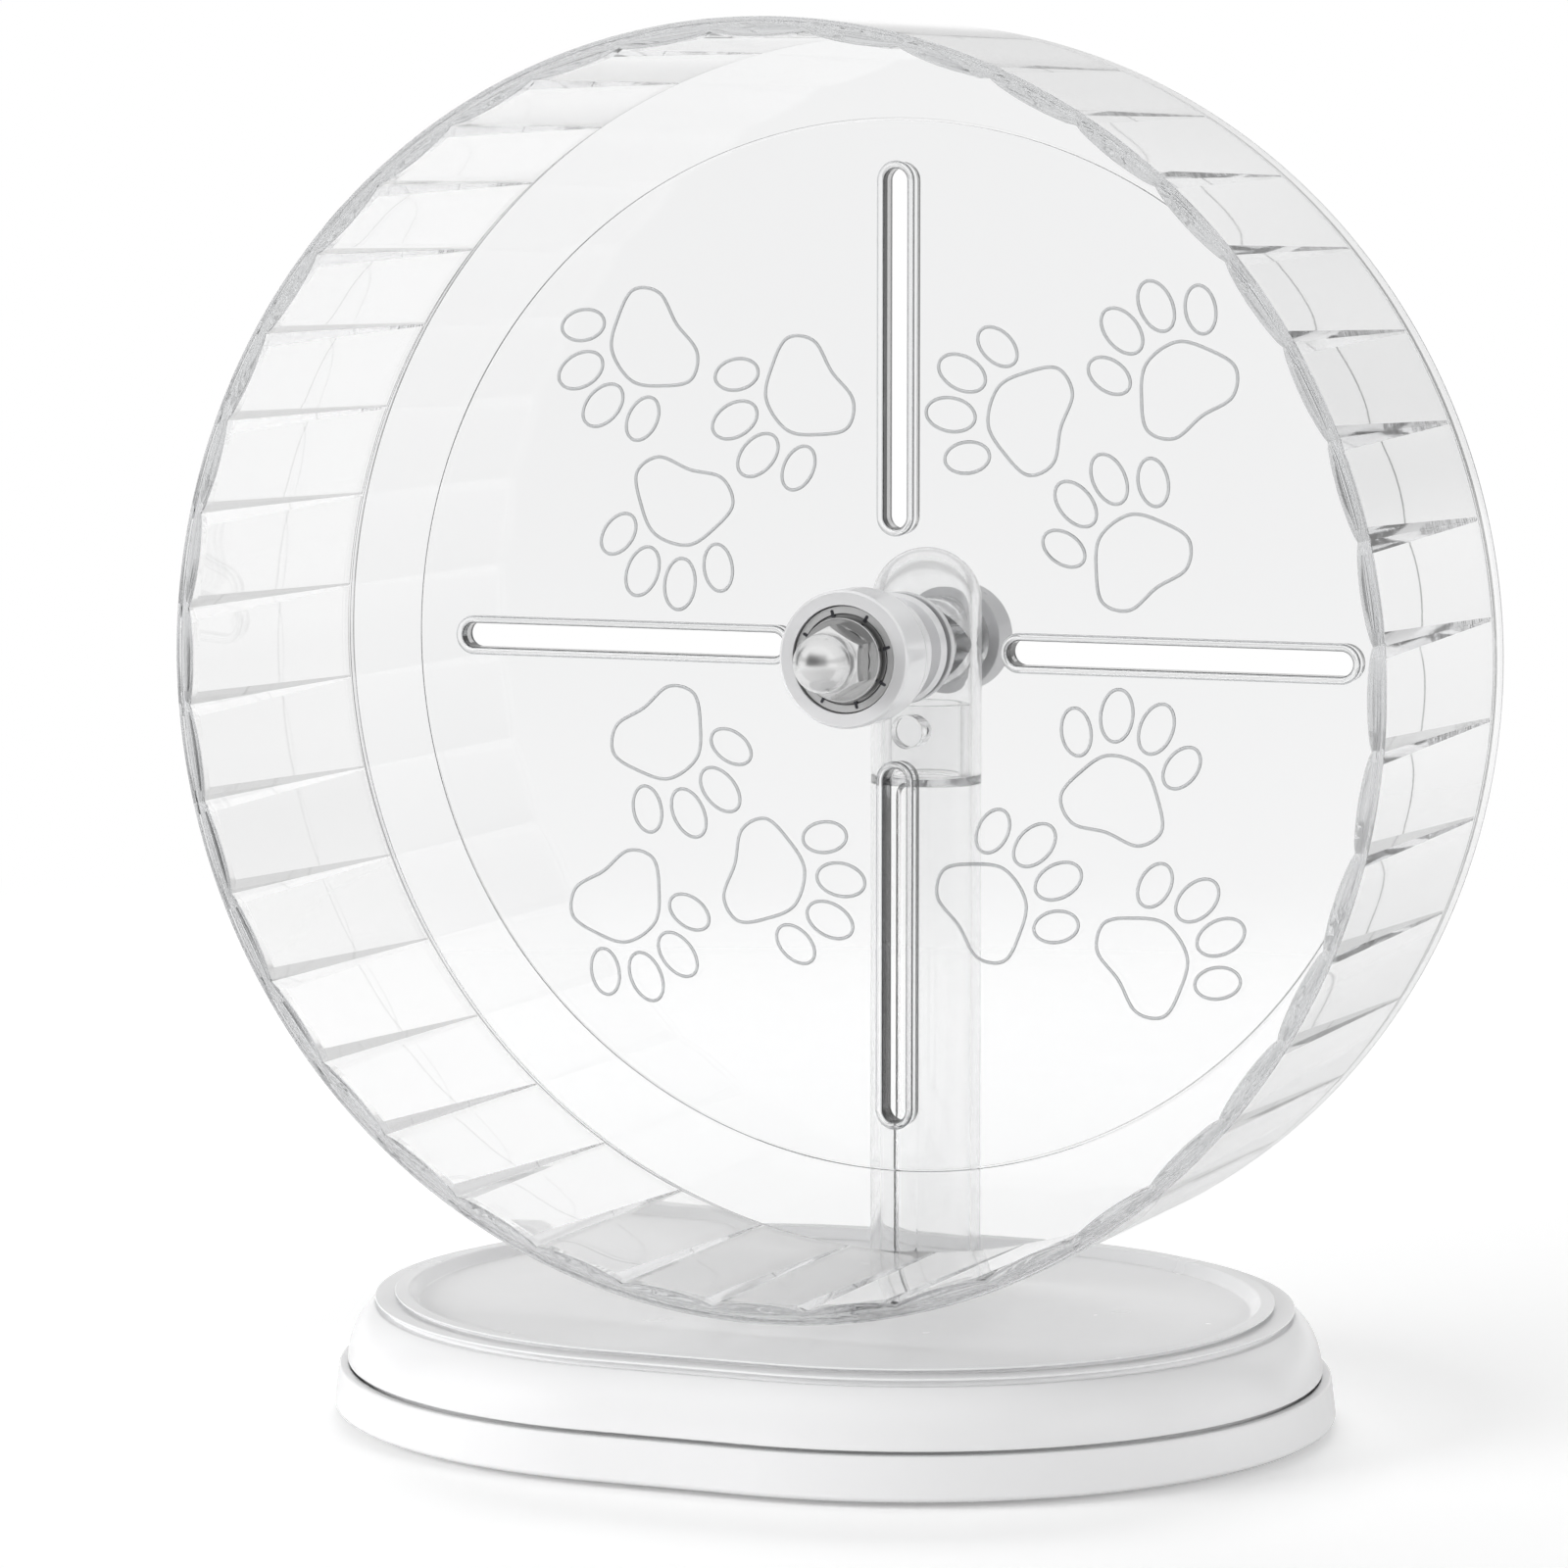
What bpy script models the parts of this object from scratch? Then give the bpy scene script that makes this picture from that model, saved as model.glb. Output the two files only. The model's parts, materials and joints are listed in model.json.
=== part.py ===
"""Hamster running wheel: a clear drum on a ball-bearing hub, a clear column and a white base.

Units are metres and +Z is up. The axle runs along Y and the drum's open side faces -Y.
The origin lies on the floor under the middle of the base.
"""
import math

import bmesh
import bpy
from mathutils import Vector

# Clearances
GAP = 0.0003
BEARING_FIT = 0.0002
COLUMN_CLEARANCE = 0.0015
DRUM_LIFT = 0.0025

# Drum and its scalloped running surface
DRUM_RADIUS = 0.130
DRUM_DEPTH = 0.080
DRUM_WALL = 0.0026
DRUM_LIP = 0.0009
SCALLOP_COUNT = 40
SCALLOP_FACETS = 3
SCALLOP_DEPTH = 0.0014

# Back disc, seated in a rebate of the drum
REBATE_DEPTH = 0.0012
DISC_THICKNESS = 0.0030
DISC_STEP = 0.0005
DISC_BAND = 0.0178
SLOT_WIDTH = 0.0055
COLLAR_WALL = 0.0012
COLLAR_FRONT = 0.0008
COLLAR_BACK = 0.0018
COLLAR_CHAMFER = 0.0003
SLOT_RIM_MARGIN = 0.0103
SLOT_HUB_MARGIN = 0.0132

# Hub
HUB_REACH = 0.0290
HUB_HOUSING = 0.0118
HUB_FRONT_WALL = 0.0031
HUB_BARREL_WALL = 0.0015
HUB_BACK_WALL = 0.0012
HUB_NECK_PLAY = 0.00095
HUB_NECK_WALL = 0.0020
HUB_CHAMFER = 0.0012
HUB_FLANGE_WIDTH = 0.0028
HUB_FLANGE = 0.0020
CLAMP_THICKNESS = 0.0020
CLAMP_RECESS = 0.0004
BEARING_RECESS = 0.0008

# Ball bearings, 8 x 22 x 7 mm
BEARING_BORE = 0.0040
BEARING_RADIUS = 0.0110
BEARING_WIDTH = 0.0070
BALL_RADIUS = 0.001985
BALL_COUNT = 7
RACE_SHOULDER = 0.00145
SHIELD_SEAT = 0.00045
SHIELD_DEPTH = 0.0009
SHIELD_THICKNESS = 0.0004
SHIELD_INNER_GAP = 0.00035
RING_CHAMFER = 0.0003
CAGE_HALF_WIDTH = 0.00095
CAGE_FRONT = 0.0010
CAGE_WEB = 0.00045

# Axle, nut, washers and rear cap
HEX_FLATS = 0.0130
HEX_HEAD = 0.0053
NUT_HEX = 0.0065
NUT_HEIGHT = 0.0150
NUT_DOME_RADIUS = 0.00615
NUT_ROOF = 0.0040
HEX_CHAMFER = 0.0006
WASHER_THICKNESS = 0.0016
FRONT_WASHER_RADIUS = 0.0087
FRONT_WASHER_STEP = 0.0005
REAR_WASHER_RADIUS = 0.0080
SPACER_WALL = 0.0017
BEARING_SPACING = 0.0006
CAP_WALL = 0.0016
CAP_CHAMFER = 0.0010

# Column
COLUMN_RADIUS = 0.01175
COLUMN_WALL = 0.0022
HEAD_RISE = 0.0203
SPIGOT_WALL = 0.0020
SPIGOT_CLEARANCE = 0.0032
AXLE_BOSS_RADIUS = 0.0095
AXLE_BOSS_PROUD = 0.0005
PIN_RADIUS = 0.0035
PIN_SUNK = 0.0002
PIN_TAIL = 0.0010
PIN_TOP_MARGIN = 0.0018
PIN_SEAM_MARGIN = 0.0060
GROOVE_WIDTH = 0.0040
GROOVE_DEPTH = 0.0012
GROOVE_BEVEL = 0.0010
GROOVE_TOP_MARGIN = 0.0018
GROOVE_FOOT_MARGIN = 0.0030
POST_FLOOR = 0.0050

# Base, a rounded oblong made of a cover on a pan
BASE_STRAIGHT = 0.0340
FOOT_PROUD = 0.0012
PAN_FLOOR = 0.0022
SEAM_HEIGHT = 0.0101
SKIRT_WALL = 0.0022
SKIRT_DRAFT = 0.0010
SKIRT_ROUND = 0.0008
COVER_LEDGE = 0.0018
COVER_SHELL = 0.0022
COVER_LIP = 0.0025
COVER_LIP_WALL = 0.0020
SHOULDER_WIDTH = 0.0055
SHOULDER_RISE = 0.0116
SHOULDER_SWEEP = math.radians(65)
RIM_STEP = 0.0018
RIM_WIDTH = 0.0041
RIM_EDGE = 0.0004
LIP_RISE = 0.0011
LIP_WIDTH = 0.0028
TRAY_SLOPE = 0.0018
TRAY_SINK = 0.0012
TRAY_MARGIN = 0.0050

# Feet and screws
FOOT_RADIUS = 0.0080
FOOT_SINK = 0.0010
FOOT_INSET = 0.0200
FOOT_ANGLE = math.radians(38)
SCREW_HEAD_RADIUS = 0.0034
SCREW_HEAD = 0.0018
SCREW_RADIUS = 0.0015
SCREW_REACH = 0.0069
SCREW_INSET = 0.0330
SCREW_ANGLE = math.radians(65)
SCREW_COUNTERBORE = 0.0032
BOSS_WALL = 0.0024
BOSS_HEIGHT = 0.0031
SOCKET_WALL = 0.0022
COLUMN_SCREW_MARGIN = 0.00455

# Facets round a turned piece, and the overshoot of a cutter past the face it cuts
FACETS_DISC = 72
FACETS_HUB = 32
FACETS_BEARING = 20
FACETS_COLUMN = 24
FACETS_BASE = 46
FACETS_FOOT = 12
FACETS_SCREW = 8
SLOT_FACETS = 6
RACE_FACETS = 4
BALL_SEGMENTS = 8
BALL_RINGS = 4
DOME_FACETS = 5
SHOULDER_FACETS = 4
OVERSHOOT = 0.0010
SMOOTH_ANGLE = math.radians(32)

# Places along the axle, as distances forward of the drum's middle plane, towards -Y
DRUM_FRONT = DRUM_DEPTH / 2
DRUM_BACK = -DRUM_DEPTH / 2
CLAMP_BACK = DRUM_BACK + CLAMP_RECESS
DISC_BACK = CLAMP_BACK + CLAMP_THICKNESS + GAP
DISC_FRONT = DISC_BACK + DISC_THICKNESS
HUB_FRONT = DISC_FRONT + HUB_REACH
FRONT_BEARING = HUB_FRONT - BEARING_RECESS - BEARING_WIDTH / 2
REAR_BEARING = FRONT_BEARING - BEARING_WIDTH - BEARING_SPACING - 2 * GAP
COLUMN_PLACE = DRUM_BACK - COLUMN_CLEARANCE - COLUMN_RADIUS
BOSS_FRONT = COLUMN_PLACE + COLUMN_RADIUS + AXLE_BOSS_PROUD
BOSS_BACK = COLUMN_PLACE - COLUMN_RADIUS - AXLE_BOSS_PROUD

# Radii on the axle
DRUM_INNER = DRUM_RADIUS - DRUM_WALL
DISC_RADIUS = DRUM_INNER + REBATE_DEPTH - GAP
DISC_STEP_RADIUS = DISC_RADIUS - DISC_BAND
SEAT_RADIUS = BEARING_RADIUS + BEARING_FIT
HUB_RADIUS = SEAT_RADIUS + HUB_FRONT_WALL
BARREL_RADIUS = SEAT_RADIUS + HUB_BARREL_WALL
PITCH_RADIUS = (BEARING_BORE + BEARING_RADIUS) / 2
NECK_BORE = PITCH_RADIUS - RACE_SHOULDER + HUB_NECK_PLAY
NECK_RADIUS = NECK_BORE + HUB_NECK_WALL
FLANGE_RADIUS = NECK_RADIUS + HUB_FLANGE_WIDTH
SHANK_RADIUS = BEARING_BORE - BEARING_FIT
SLIP_RADIUS = SHANK_RADIUS + GAP
SPACER_RADIUS = SLIP_RADIUS + SPACER_WALL
HEX_CORNER = HEX_FLATS / math.sqrt(3)
CAP_RADIUS = COLUMN_RADIUS

# Heights
RIM_TOP = SEAM_HEIGHT + GAP + SHOULDER_RISE + RIM_STEP
LIP_TOP = RIM_TOP + LIP_RISE
TRAY_TOP = RIM_TOP - TRAY_SINK
PAN_TOP = FOOT_PROUD + PAN_FLOOR
BOSS_TOP = PAN_TOP + BOSS_HEIGHT
POST_FOOT = BOSS_TOP + GAP
AXLE_HEIGHT = TRAY_TOP + DRUM_LIFT + DRUM_RADIUS
SPIGOT_TOP = AXLE_HEIGHT - AXLE_BOSS_RADIUS - SPIGOT_CLEARANCE
PIN_HEIGHT = SPIGOT_TOP - PIN_TOP_MARGIN - PIN_RADIUS
SEAM = PIN_HEIGHT - PIN_RADIUS - PIN_SEAM_MARGIN

# Plan of the base, as insets from the foot of its skirt
LEDGE_INSET = SKIRT_DRAFT + COVER_LEDGE
RIM_INSET = LEDGE_INSET + SHOULDER_WIDTH + RIM_EDGE
LIP_INSET = RIM_INSET + RIM_WIDTH
SLOPE_INSET = LIP_INSET + LIP_WIDTH
TRAY_INSET = SLOPE_INSET + TRAY_SLOPE
COLUMN_Y = -COLUMN_PLACE
BASE_RADIUS = COLUMN_Y + COLUMN_RADIUS + TRAY_MARGIN + TRAY_INSET
SOCKET_RADIUS = COLUMN_RADIUS + GAP + SOCKET_WALL
BOSS_RADIUS = SCREW_HEAD_RADIUS + GAP + BOSS_WALL
SCREW_HOLE = SCREW_RADIUS + GAP
COLUMN_SCREW_OFFSET = COLUMN_RADIUS - COLUMN_WALL - COLUMN_SCREW_MARGIN


# Helpers

def clear_scene():
    for old in list(bpy.data.objects):
        bpy.data.objects.remove(old, do_unlink=True)


def new_collection(name):
    made = bpy.data.collections.new(name)
    bpy.context.scene.collection.children.link(made)
    return made


def new_material(name, colour, roughness, metallic=0.0, clear=0.0):
    made = bpy.data.materials.new(name)
    made.use_nodes = True
    shader = made.node_tree.nodes["Principled BSDF"]
    shader.inputs["Base Color"].default_value = (*colour, 1.0)
    shader.inputs["Roughness"].default_value = roughness
    shader.inputs["Metallic"].default_value = metallic
    shader.inputs["Transmission Weight"].default_value = clear
    return made


def add_object(name, mesh, finish, parent=None, location=(0.0, 0.0, 0.0)):
    made = bpy.data.objects.new(name, mesh)
    parts.objects.link(made)
    made.parent = parent
    made.location = location
    mesh.materials.clear()
    mesh.materials.append(finish)
    mesh.shade_smooth()
    mesh.set_sharp_from_angle(angle=SMOOTH_ANGLE)
    return made


def cutter(name, mesh, parent=None, location=(0.0, 0.0, 0.0), rotation=(0.0, 0.0, 0.0)):
    made = bpy.data.objects.new(name, mesh)
    cutters.objects.link(made)
    made.parent = parent
    made.location = location
    made.rotation_euler = rotation
    made.hide_render = True
    made.display_type = "WIRE"
    return made


def boolean(target, tool, operation):
    cut = target.modifiers.new(tool.name, "BOOLEAN")
    cut.object = tool
    cut.operation = operation


def turned(profile, facets, closed=True):
    """A profile of (radius, height) points, top to bottom on its outer side, turned about Z."""
    count = len(profile)
    edges = [(i, i + 1) for i in range(count - 1)]
    if closed:
        edges.append((count - 1, 0))
    outline = bpy.data.meshes.new("outline")
    outline.from_pydata([(radius, 0.0, height) for radius, height in profile], edges, [])
    holder = bpy.data.objects.new("outline", outline)
    bpy.context.scene.collection.objects.link(holder)
    screw = holder.modifiers.new("turn", "SCREW")
    screw.axis = "Z"
    screw.angle = 2 * math.pi
    screw.steps = facets
    screw.render_steps = facets
    screw.use_merge_vertices = True
    screw.merge_threshold = 0.00001
    depsgraph = bpy.context.evaluated_depsgraph_get()
    mesh = bpy.data.meshes.new_from_object(holder.evaluated_get(depsgraph))
    bpy.data.objects.remove(holder, do_unlink=True)
    bpy.data.meshes.remove(outline)
    return mesh


def ring(inner, outer, low, high, facets):
    return turned([(outer, high), (outer, low), (inner, low), (inner, high)], facets)


def cylinders(places, radius, low, high, facets=FACETS_SCREW):
    """Separate upright cylinders in one mesh, at the (x, y) places given."""
    shape = bmesh.new()
    for x, y in places:
        made = bmesh.ops.create_cone(shape, cap_ends=True, segments=facets, radius1=radius,
                                     radius2=radius, depth=high - low)
        bmesh.ops.translate(shape, verts=made["verts"], vec=(x, y, (low + high) / 2))
    mesh = bpy.data.meshes.new("cylinders")
    shape.to_mesh(mesh)
    shape.free()
    return mesh


def stadium(half_length, radius, height, facets):
    """Points of a round-ended slot along X, counter-clockwise."""
    points = []
    for side, start in ((1, -math.pi / 2), (-1, math.pi / 2)):
        for step in range(facets + 1):
            angle = start + math.pi * step / facets
            points.append(Vector((side * half_length + radius * math.cos(angle),
                                  radius * math.sin(angle), height)))
    return points


def loft(sections):
    """A solid through closed sections of equal point counts, from the lowest to the highest."""
    shape = bmesh.new()
    loops = [[shape.verts.new(point) for point in section] for section in sections]
    for low, high in zip(loops, loops[1:]):
        for i, corner in enumerate(low):
            j = (i + 1) % len(low)
            shape.faces.new((corner, low[j], high[j], high[i]))
    shape.faces.new(reversed(loops[0]))
    shape.faces.new(loops[-1])
    mesh = bpy.data.meshes.new("loft")
    shape.to_mesh(mesh)
    shape.free()
    return mesh


def stretched(mesh, length):
    """Pulls a turned mesh apart at its YZ plane, so that a round plan becomes an oblong one."""
    for vertex in mesh.vertices:
        if abs(vertex.co.x) > GAP / 10:
            vertex.co.x += math.copysign(length / 2, vertex.co.x)
    return mesh


def hexagon(height):
    """A plain hexagon bar along Z, from 0 up to the height."""
    shape = bmesh.new()
    bmesh.ops.create_cone(shape, cap_ends=True, segments=6, radius1=HEX_CORNER, radius2=HEX_CORNER,
                          depth=height)
    bmesh.ops.translate(shape, verts=shape.verts[:], vec=(0, 0, height / 2))
    mesh = bpy.data.meshes.new("hexagon")
    shape.to_mesh(mesh)
    shape.free()
    return mesh


def dome_arc(radius, centre):
    """Quarter circle from the crown on the axis down to the side."""
    turn = math.pi / 2 / DOME_FACETS
    angles = [turn * step for step in range(DOME_FACETS + 1)]
    return [(radius * math.sin(angle), centre + radius * math.cos(angle)) for angle in angles]


# Wheel: drum, disc and hub

def scallop(mesh):
    """Swells the running surface between its grooves, most at the front edge and least at the disc."""
    groove_free = DRUM_RADIUS - DRUM_WALL / 2
    for vertex in mesh.vertices:
        radius = math.hypot(vertex.co.x, vertex.co.y)
        share = (vertex.co.z - DISC_FRONT) / (DRUM_FRONT - DISC_FRONT)
        if radius > groove_free or share < 0:
            continue
        angle = math.atan2(vertex.co.y, vertex.co.x)
        swell = SCALLOP_DEPTH * share * abs(math.cos(SCALLOP_COUNT * angle / 2))
        vertex.co.x *= (radius - swell) / radius
        vertex.co.y *= (radius - swell) / radius
    return mesh


def make_drum():
    seat = DRUM_INNER + REBATE_DEPTH
    profile = [
        (DRUM_RADIUS - DRUM_LIP, DRUM_FRONT),
        (DRUM_RADIUS, DRUM_FRONT - DRUM_LIP),
        (DRUM_RADIUS, DRUM_BACK),
        (seat, DRUM_BACK),
        (seat, DISC_FRONT + GAP),
        (DRUM_INNER, DISC_FRONT + GAP),
        (DRUM_INNER, DRUM_FRONT - DRUM_LIP / 2),
        (DRUM_INNER + DRUM_LIP / 2, DRUM_FRONT),
    ]
    mesh = scallop(turned(profile, SCALLOP_COUNT * SCALLOP_FACETS))
    add_object("running_drum", mesh, clear_plastic, axle)


def slot_bar(sections):
    """A round-ended bar in a slot's place, through sections of (half width, height)."""
    inner = FLANGE_RADIUS + SLOT_HUB_MARGIN
    outer = DISC_STEP_RADIUS - SLOT_RIM_MARGIN
    half = (outer - inner - SLOT_WIDTH) / 2
    mesh = loft([stadium(half, radius, height, SLOT_FACETS) for radius, height in sections])
    for vertex in mesh.vertices:
        vertex.co.x += (inner + outer) / 2
    return mesh


def make_disc():
    hole = NECK_RADIUS + GAP
    profile = [
        (DISC_STEP_RADIUS - DISC_STEP, DISC_FRONT),
        (DISC_STEP_RADIUS, DISC_FRONT - DISC_STEP),
        (DISC_RADIUS, DISC_FRONT - DISC_STEP),
        (DISC_RADIUS, DISC_BACK),
        (hole, DISC_BACK),
        (hole, DISC_FRONT),
    ]
    disc = add_object("back_disc", turned(profile, FACETS_DISC), clear_plastic, axle)
    back = DISC_BACK - COLLAR_BACK
    front = DISC_FRONT + COLLAR_FRONT
    opening = SLOT_WIDTH / 2
    outside = opening + COLLAR_WALL
    edge = outside - COLLAR_CHAMFER
    collar = slot_bar([(outside, back), (outside, front - COLLAR_CHAMFER), (edge, front)])
    slot = slot_bar([(opening, back - OVERSHOOT), (opening, front + OVERSHOOT)])
    for quarter in range(4):
        turn = (0, 0, quarter * math.pi / 2)
        boolean(disc, cutter(f"collar_{quarter}", collar, axle, rotation=turn), "UNION")
        boolean(disc, cutter(f"slot_{quarter}", slot, axle, rotation=turn), "DIFFERENCE")


def make_hub():
    flange_back = DISC_FRONT + GAP
    flange_front = flange_back + HUB_FLANGE
    housing_back = HUB_FRONT - HUB_HOUSING
    seat_back = REAR_BEARING - BEARING_WIDTH / 2 - BEARING_FIT
    barrel_back = seat_back - HUB_BACK_WALL
    profile = [
        (HUB_RADIUS - HUB_CHAMFER, HUB_FRONT),
        (HUB_RADIUS, HUB_FRONT - HUB_CHAMFER),
        (HUB_RADIUS, housing_back),
        (BARREL_RADIUS, housing_back),
        (BARREL_RADIUS, barrel_back),
        (NECK_RADIUS, barrel_back),
        (NECK_RADIUS, flange_front),
        (FLANGE_RADIUS - HUB_CHAMFER / 2, flange_front),
        (FLANGE_RADIUS, flange_back),
        (NECK_RADIUS, flange_back),
        (NECK_RADIUS, CLAMP_BACK),
        (NECK_BORE, CLAMP_BACK),
        (NECK_BORE, seat_back),
        (SEAT_RADIUS, seat_back),
        (SEAT_RADIUS, HUB_FRONT),
    ]
    add_object("hub_sleeve", turned(profile, FACETS_HUB), white_plastic, axle)
    clamp = ring(NECK_RADIUS + GAP, FLANGE_RADIUS, CLAMP_BACK, CLAMP_BACK + CLAMP_THICKNESS, FACETS_HUB)
    add_object("hub_clamp_ring", clamp, white_plastic, axle)


# Ball bearings

def groove_arc(side):
    """Raceway points from front shoulder to back; side is 1 for the outer ring, -1 for the inner."""
    radius = BALL_RADIUS + BEARING_FIT
    edge = math.asin(RACE_SHOULDER / radius)
    points = []
    for step in range(RACE_FACETS + 1):
        angle = edge + (math.pi - 2 * edge) * step / RACE_FACETS
        points.append((PITCH_RADIUS + side * radius * math.sin(angle), radius * math.cos(angle)))
    return points


def outer_ring_mesh():
    half = BEARING_WIDTH / 2
    land = PITCH_RADIUS + RACE_SHOULDER
    seat = land + SHIELD_SEAT
    step = half - SHIELD_DEPTH
    outside = [(BEARING_RADIUS, half), (BEARING_RADIUS, -half)]
    race = list(reversed(groove_arc(1)))
    inside = [(seat, -half), (seat, -step), (land, -step), *race, (land, step), (seat, step), (seat, half)]
    return turned(outside + inside, FACETS_BEARING)


def inner_ring_mesh():
    half = BEARING_WIDTH / 2
    land = PITCH_RADIUS - RACE_SHOULDER
    outside = [(land, half), *groove_arc(-1), (land, -half)]
    return turned([*outside, (BEARING_BORE, -half), (BEARING_BORE, half)], FACETS_BEARING)


def ball_places():
    angles = [math.pi / 2 + 2 * math.pi * step / BALL_COUNT for step in range(BALL_COUNT)]
    return [(PITCH_RADIUS * math.cos(angle), PITCH_RADIUS * math.sin(angle)) for angle in angles]


def sphere_mesh(places, radius):
    shape = bmesh.new()
    for x, y in places:
        made = bmesh.ops.create_uvsphere(shape, u_segments=BALL_SEGMENTS, v_segments=BALL_RINGS,
                                         radius=radius)
        bmesh.ops.translate(shape, verts=made["verts"], vec=(x, y, 0))
    mesh = bpy.data.meshes.new("spheres")
    shape.to_mesh(mesh)
    shape.free()
    return mesh


def make_bearing(place, centre, outward):
    """A bearing with one shield, on the side that outward gives: 1 for the front, -1 for the back."""
    middle = (0, 0, centre)
    add_object(f"{place}_bearing_outer_ring", outer_ring_mesh(), bearing_steel, axle, middle)
    add_object(f"{place}_bearing_inner_ring", inner_ring_mesh(), bearing_steel, axle, middle)
    shield_inner = PITCH_RADIUS - RACE_SHOULDER + SHIELD_INNER_GAP
    shield_outer = PITCH_RADIUS + RACE_SHOULDER + SHIELD_SEAT - BEARING_FIT
    seat = BEARING_WIDTH / 2 - SHIELD_DEPTH + BEARING_FIT
    low, high = sorted((outward * seat, outward * (seat + SHIELD_THICKNESS)))
    shield = ring(shield_inner, shield_outer, low, high, FACETS_BEARING)
    add_object(f"{place}_bearing_shield", shield, dark_steel, axle, middle)

    pocket = BALL_RADIUS + BEARING_FIT
    body = ring(PITCH_RADIUS - CAGE_HALF_WIDTH, PITCH_RADIUS + CAGE_HALF_WIDTH, -pocket - CAGE_WEB,
                CAGE_FRONT, FACETS_BEARING)
    cage = add_object(f"{place}_ball_cage", body, cage_plastic, axle, middle)
    pockets = cutter(f"{place}_ball_pockets", sphere_mesh(ball_places(), pocket), axle, middle)
    boolean(cage, pockets, "DIFFERENCE")

    ball = sphere_mesh([(0, 0)], BALL_RADIUS)
    for number, (x, y) in enumerate(ball_places(), start=1):
        add_object(f"{place}_ball_{number}", ball, bearing_steel, axle, (x, y, centre))


# Axle and what is clamped on it

def make_axle():
    back_face = BOSS_BACK - GAP
    washer = ring(SLIP_RADIUS, REAR_WASHER_RADIUS, back_face - WASHER_THICKNESS, back_face, FACETS_BEARING)
    add_object("rear_washer", washer, bearing_steel, axle)

    head_front = back_face - WASHER_THICKNESS - GAP
    nut_seat = FRONT_BEARING + BEARING_WIDTH / 2 + GAP + FRONT_WASHER_STEP + WASHER_THICKNESS + GAP
    tip = nut_seat + NUT_HEIGHT - NUT_ROOF - GAP
    shank = [
        (SHANK_RADIUS - RING_CHAMFER, tip),
        (SHANK_RADIUS, tip - RING_CHAMFER),
        (SHANK_RADIUS, head_front - HEX_HEAD / 2),
        (0, head_front - HEX_HEAD / 2),
    ]
    mesh = turned([(0, tip), *shank], FACETS_BEARING, closed=False)
    bolt = add_object("axle_bolt", mesh, bearing_steel, axle)
    head = cutter("axle_head", hexagon(HEX_HEAD), axle, (0, 0, head_front - HEX_HEAD))
    boolean(bolt, head, "UNION")

    cap_back = head_front - HEX_HEAD - GAP - CAP_WALL
    cavity = max(REAR_WASHER_RADIUS, HEX_CORNER) + GAP
    cap = [
        (0, cap_back + CAP_WALL),
        (cavity, cap_back + CAP_WALL),
        (cavity, back_face),
        (CAP_RADIUS, back_face),
        (CAP_RADIUS, cap_back + CAP_CHAMFER),
        (CAP_RADIUS - CAP_CHAMFER, cap_back),
        (0, cap_back),
    ]
    add_object("rear_cap", turned(cap, FACETS_COLUMN, closed=False), grey_plastic, axle)

    rear_face = REAR_BEARING - BEARING_WIDTH / 2
    spacer = ring(SLIP_RADIUS, SPACER_RADIUS, BOSS_FRONT + GAP, rear_face - GAP, FACETS_BEARING)
    add_object("axle_spacer", spacer, bearing_steel, axle)
    between = ring(SLIP_RADIUS, SPACER_RADIUS, REAR_BEARING + BEARING_WIDTH / 2 + GAP,
                   FRONT_BEARING - BEARING_WIDTH / 2 - GAP, FACETS_BEARING)
    add_object("bearing_spacer", between, bearing_steel, axle)
    make_front_washer(nut_seat - GAP)
    make_nut(nut_seat)


def make_front_washer(front):
    back = front - WASHER_THICKNESS
    profile = [
        (FRONT_WASHER_RADIUS - RING_CHAMFER, front),
        (FRONT_WASHER_RADIUS, front - RING_CHAMFER),
        (FRONT_WASHER_RADIUS, back),
        (SPACER_RADIUS, back),
        (SPACER_RADIUS, back - FRONT_WASHER_STEP),
        (SLIP_RADIUS, back - FRONT_WASHER_STEP),
        (SLIP_RADIUS, front),
    ]
    add_object("front_washer", turned(profile, FACETS_COLUMN), bearing_steel, axle)


def make_nut(seat):
    """A hexagon with chamfered corners under a dome, with a blind bore for the axle."""
    nut = add_object("acorn_nut", hexagon(NUT_HEX), chrome, axle, (0, 0, seat))
    corner = HEX_CORNER + OVERSHOOT
    limit = [
        (0, NUT_HEX + OVERSHOOT),
        (HEX_FLATS / 2, NUT_HEX + OVERSHOOT),
        (HEX_FLATS / 2, NUT_HEX),
        (HEX_CORNER, NUT_HEX - HEX_CHAMFER),
        (corner, NUT_HEX - HEX_CHAMFER),
        (corner, -OVERSHOOT),
        (0, -OVERSHOOT),
    ]
    place = (0, 0, seat)
    boolean(nut, cutter("nut_chamfer", turned(limit, FACETS_BEARING, closed=False), axle, place), "INTERSECT")
    crown = NUT_HEIGHT - NUT_DOME_RADIUS
    dome = dome_arc(NUT_DOME_RADIUS, crown)
    dome += [(NUT_DOME_RADIUS, NUT_HEX / 2), (0, NUT_HEX / 2)]
    boolean(nut, cutter("nut_dome", turned(dome, FACETS_BEARING, closed=False), axle, place), "UNION")
    bore = cylinders([(0, 0)], SLIP_RADIUS, -OVERSHOOT, NUT_HEIGHT - NUT_ROOF, FACETS_BEARING)
    boolean(nut, cutter("nut_bore", bore, axle, place), "DIFFERENCE")


# Column

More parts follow.
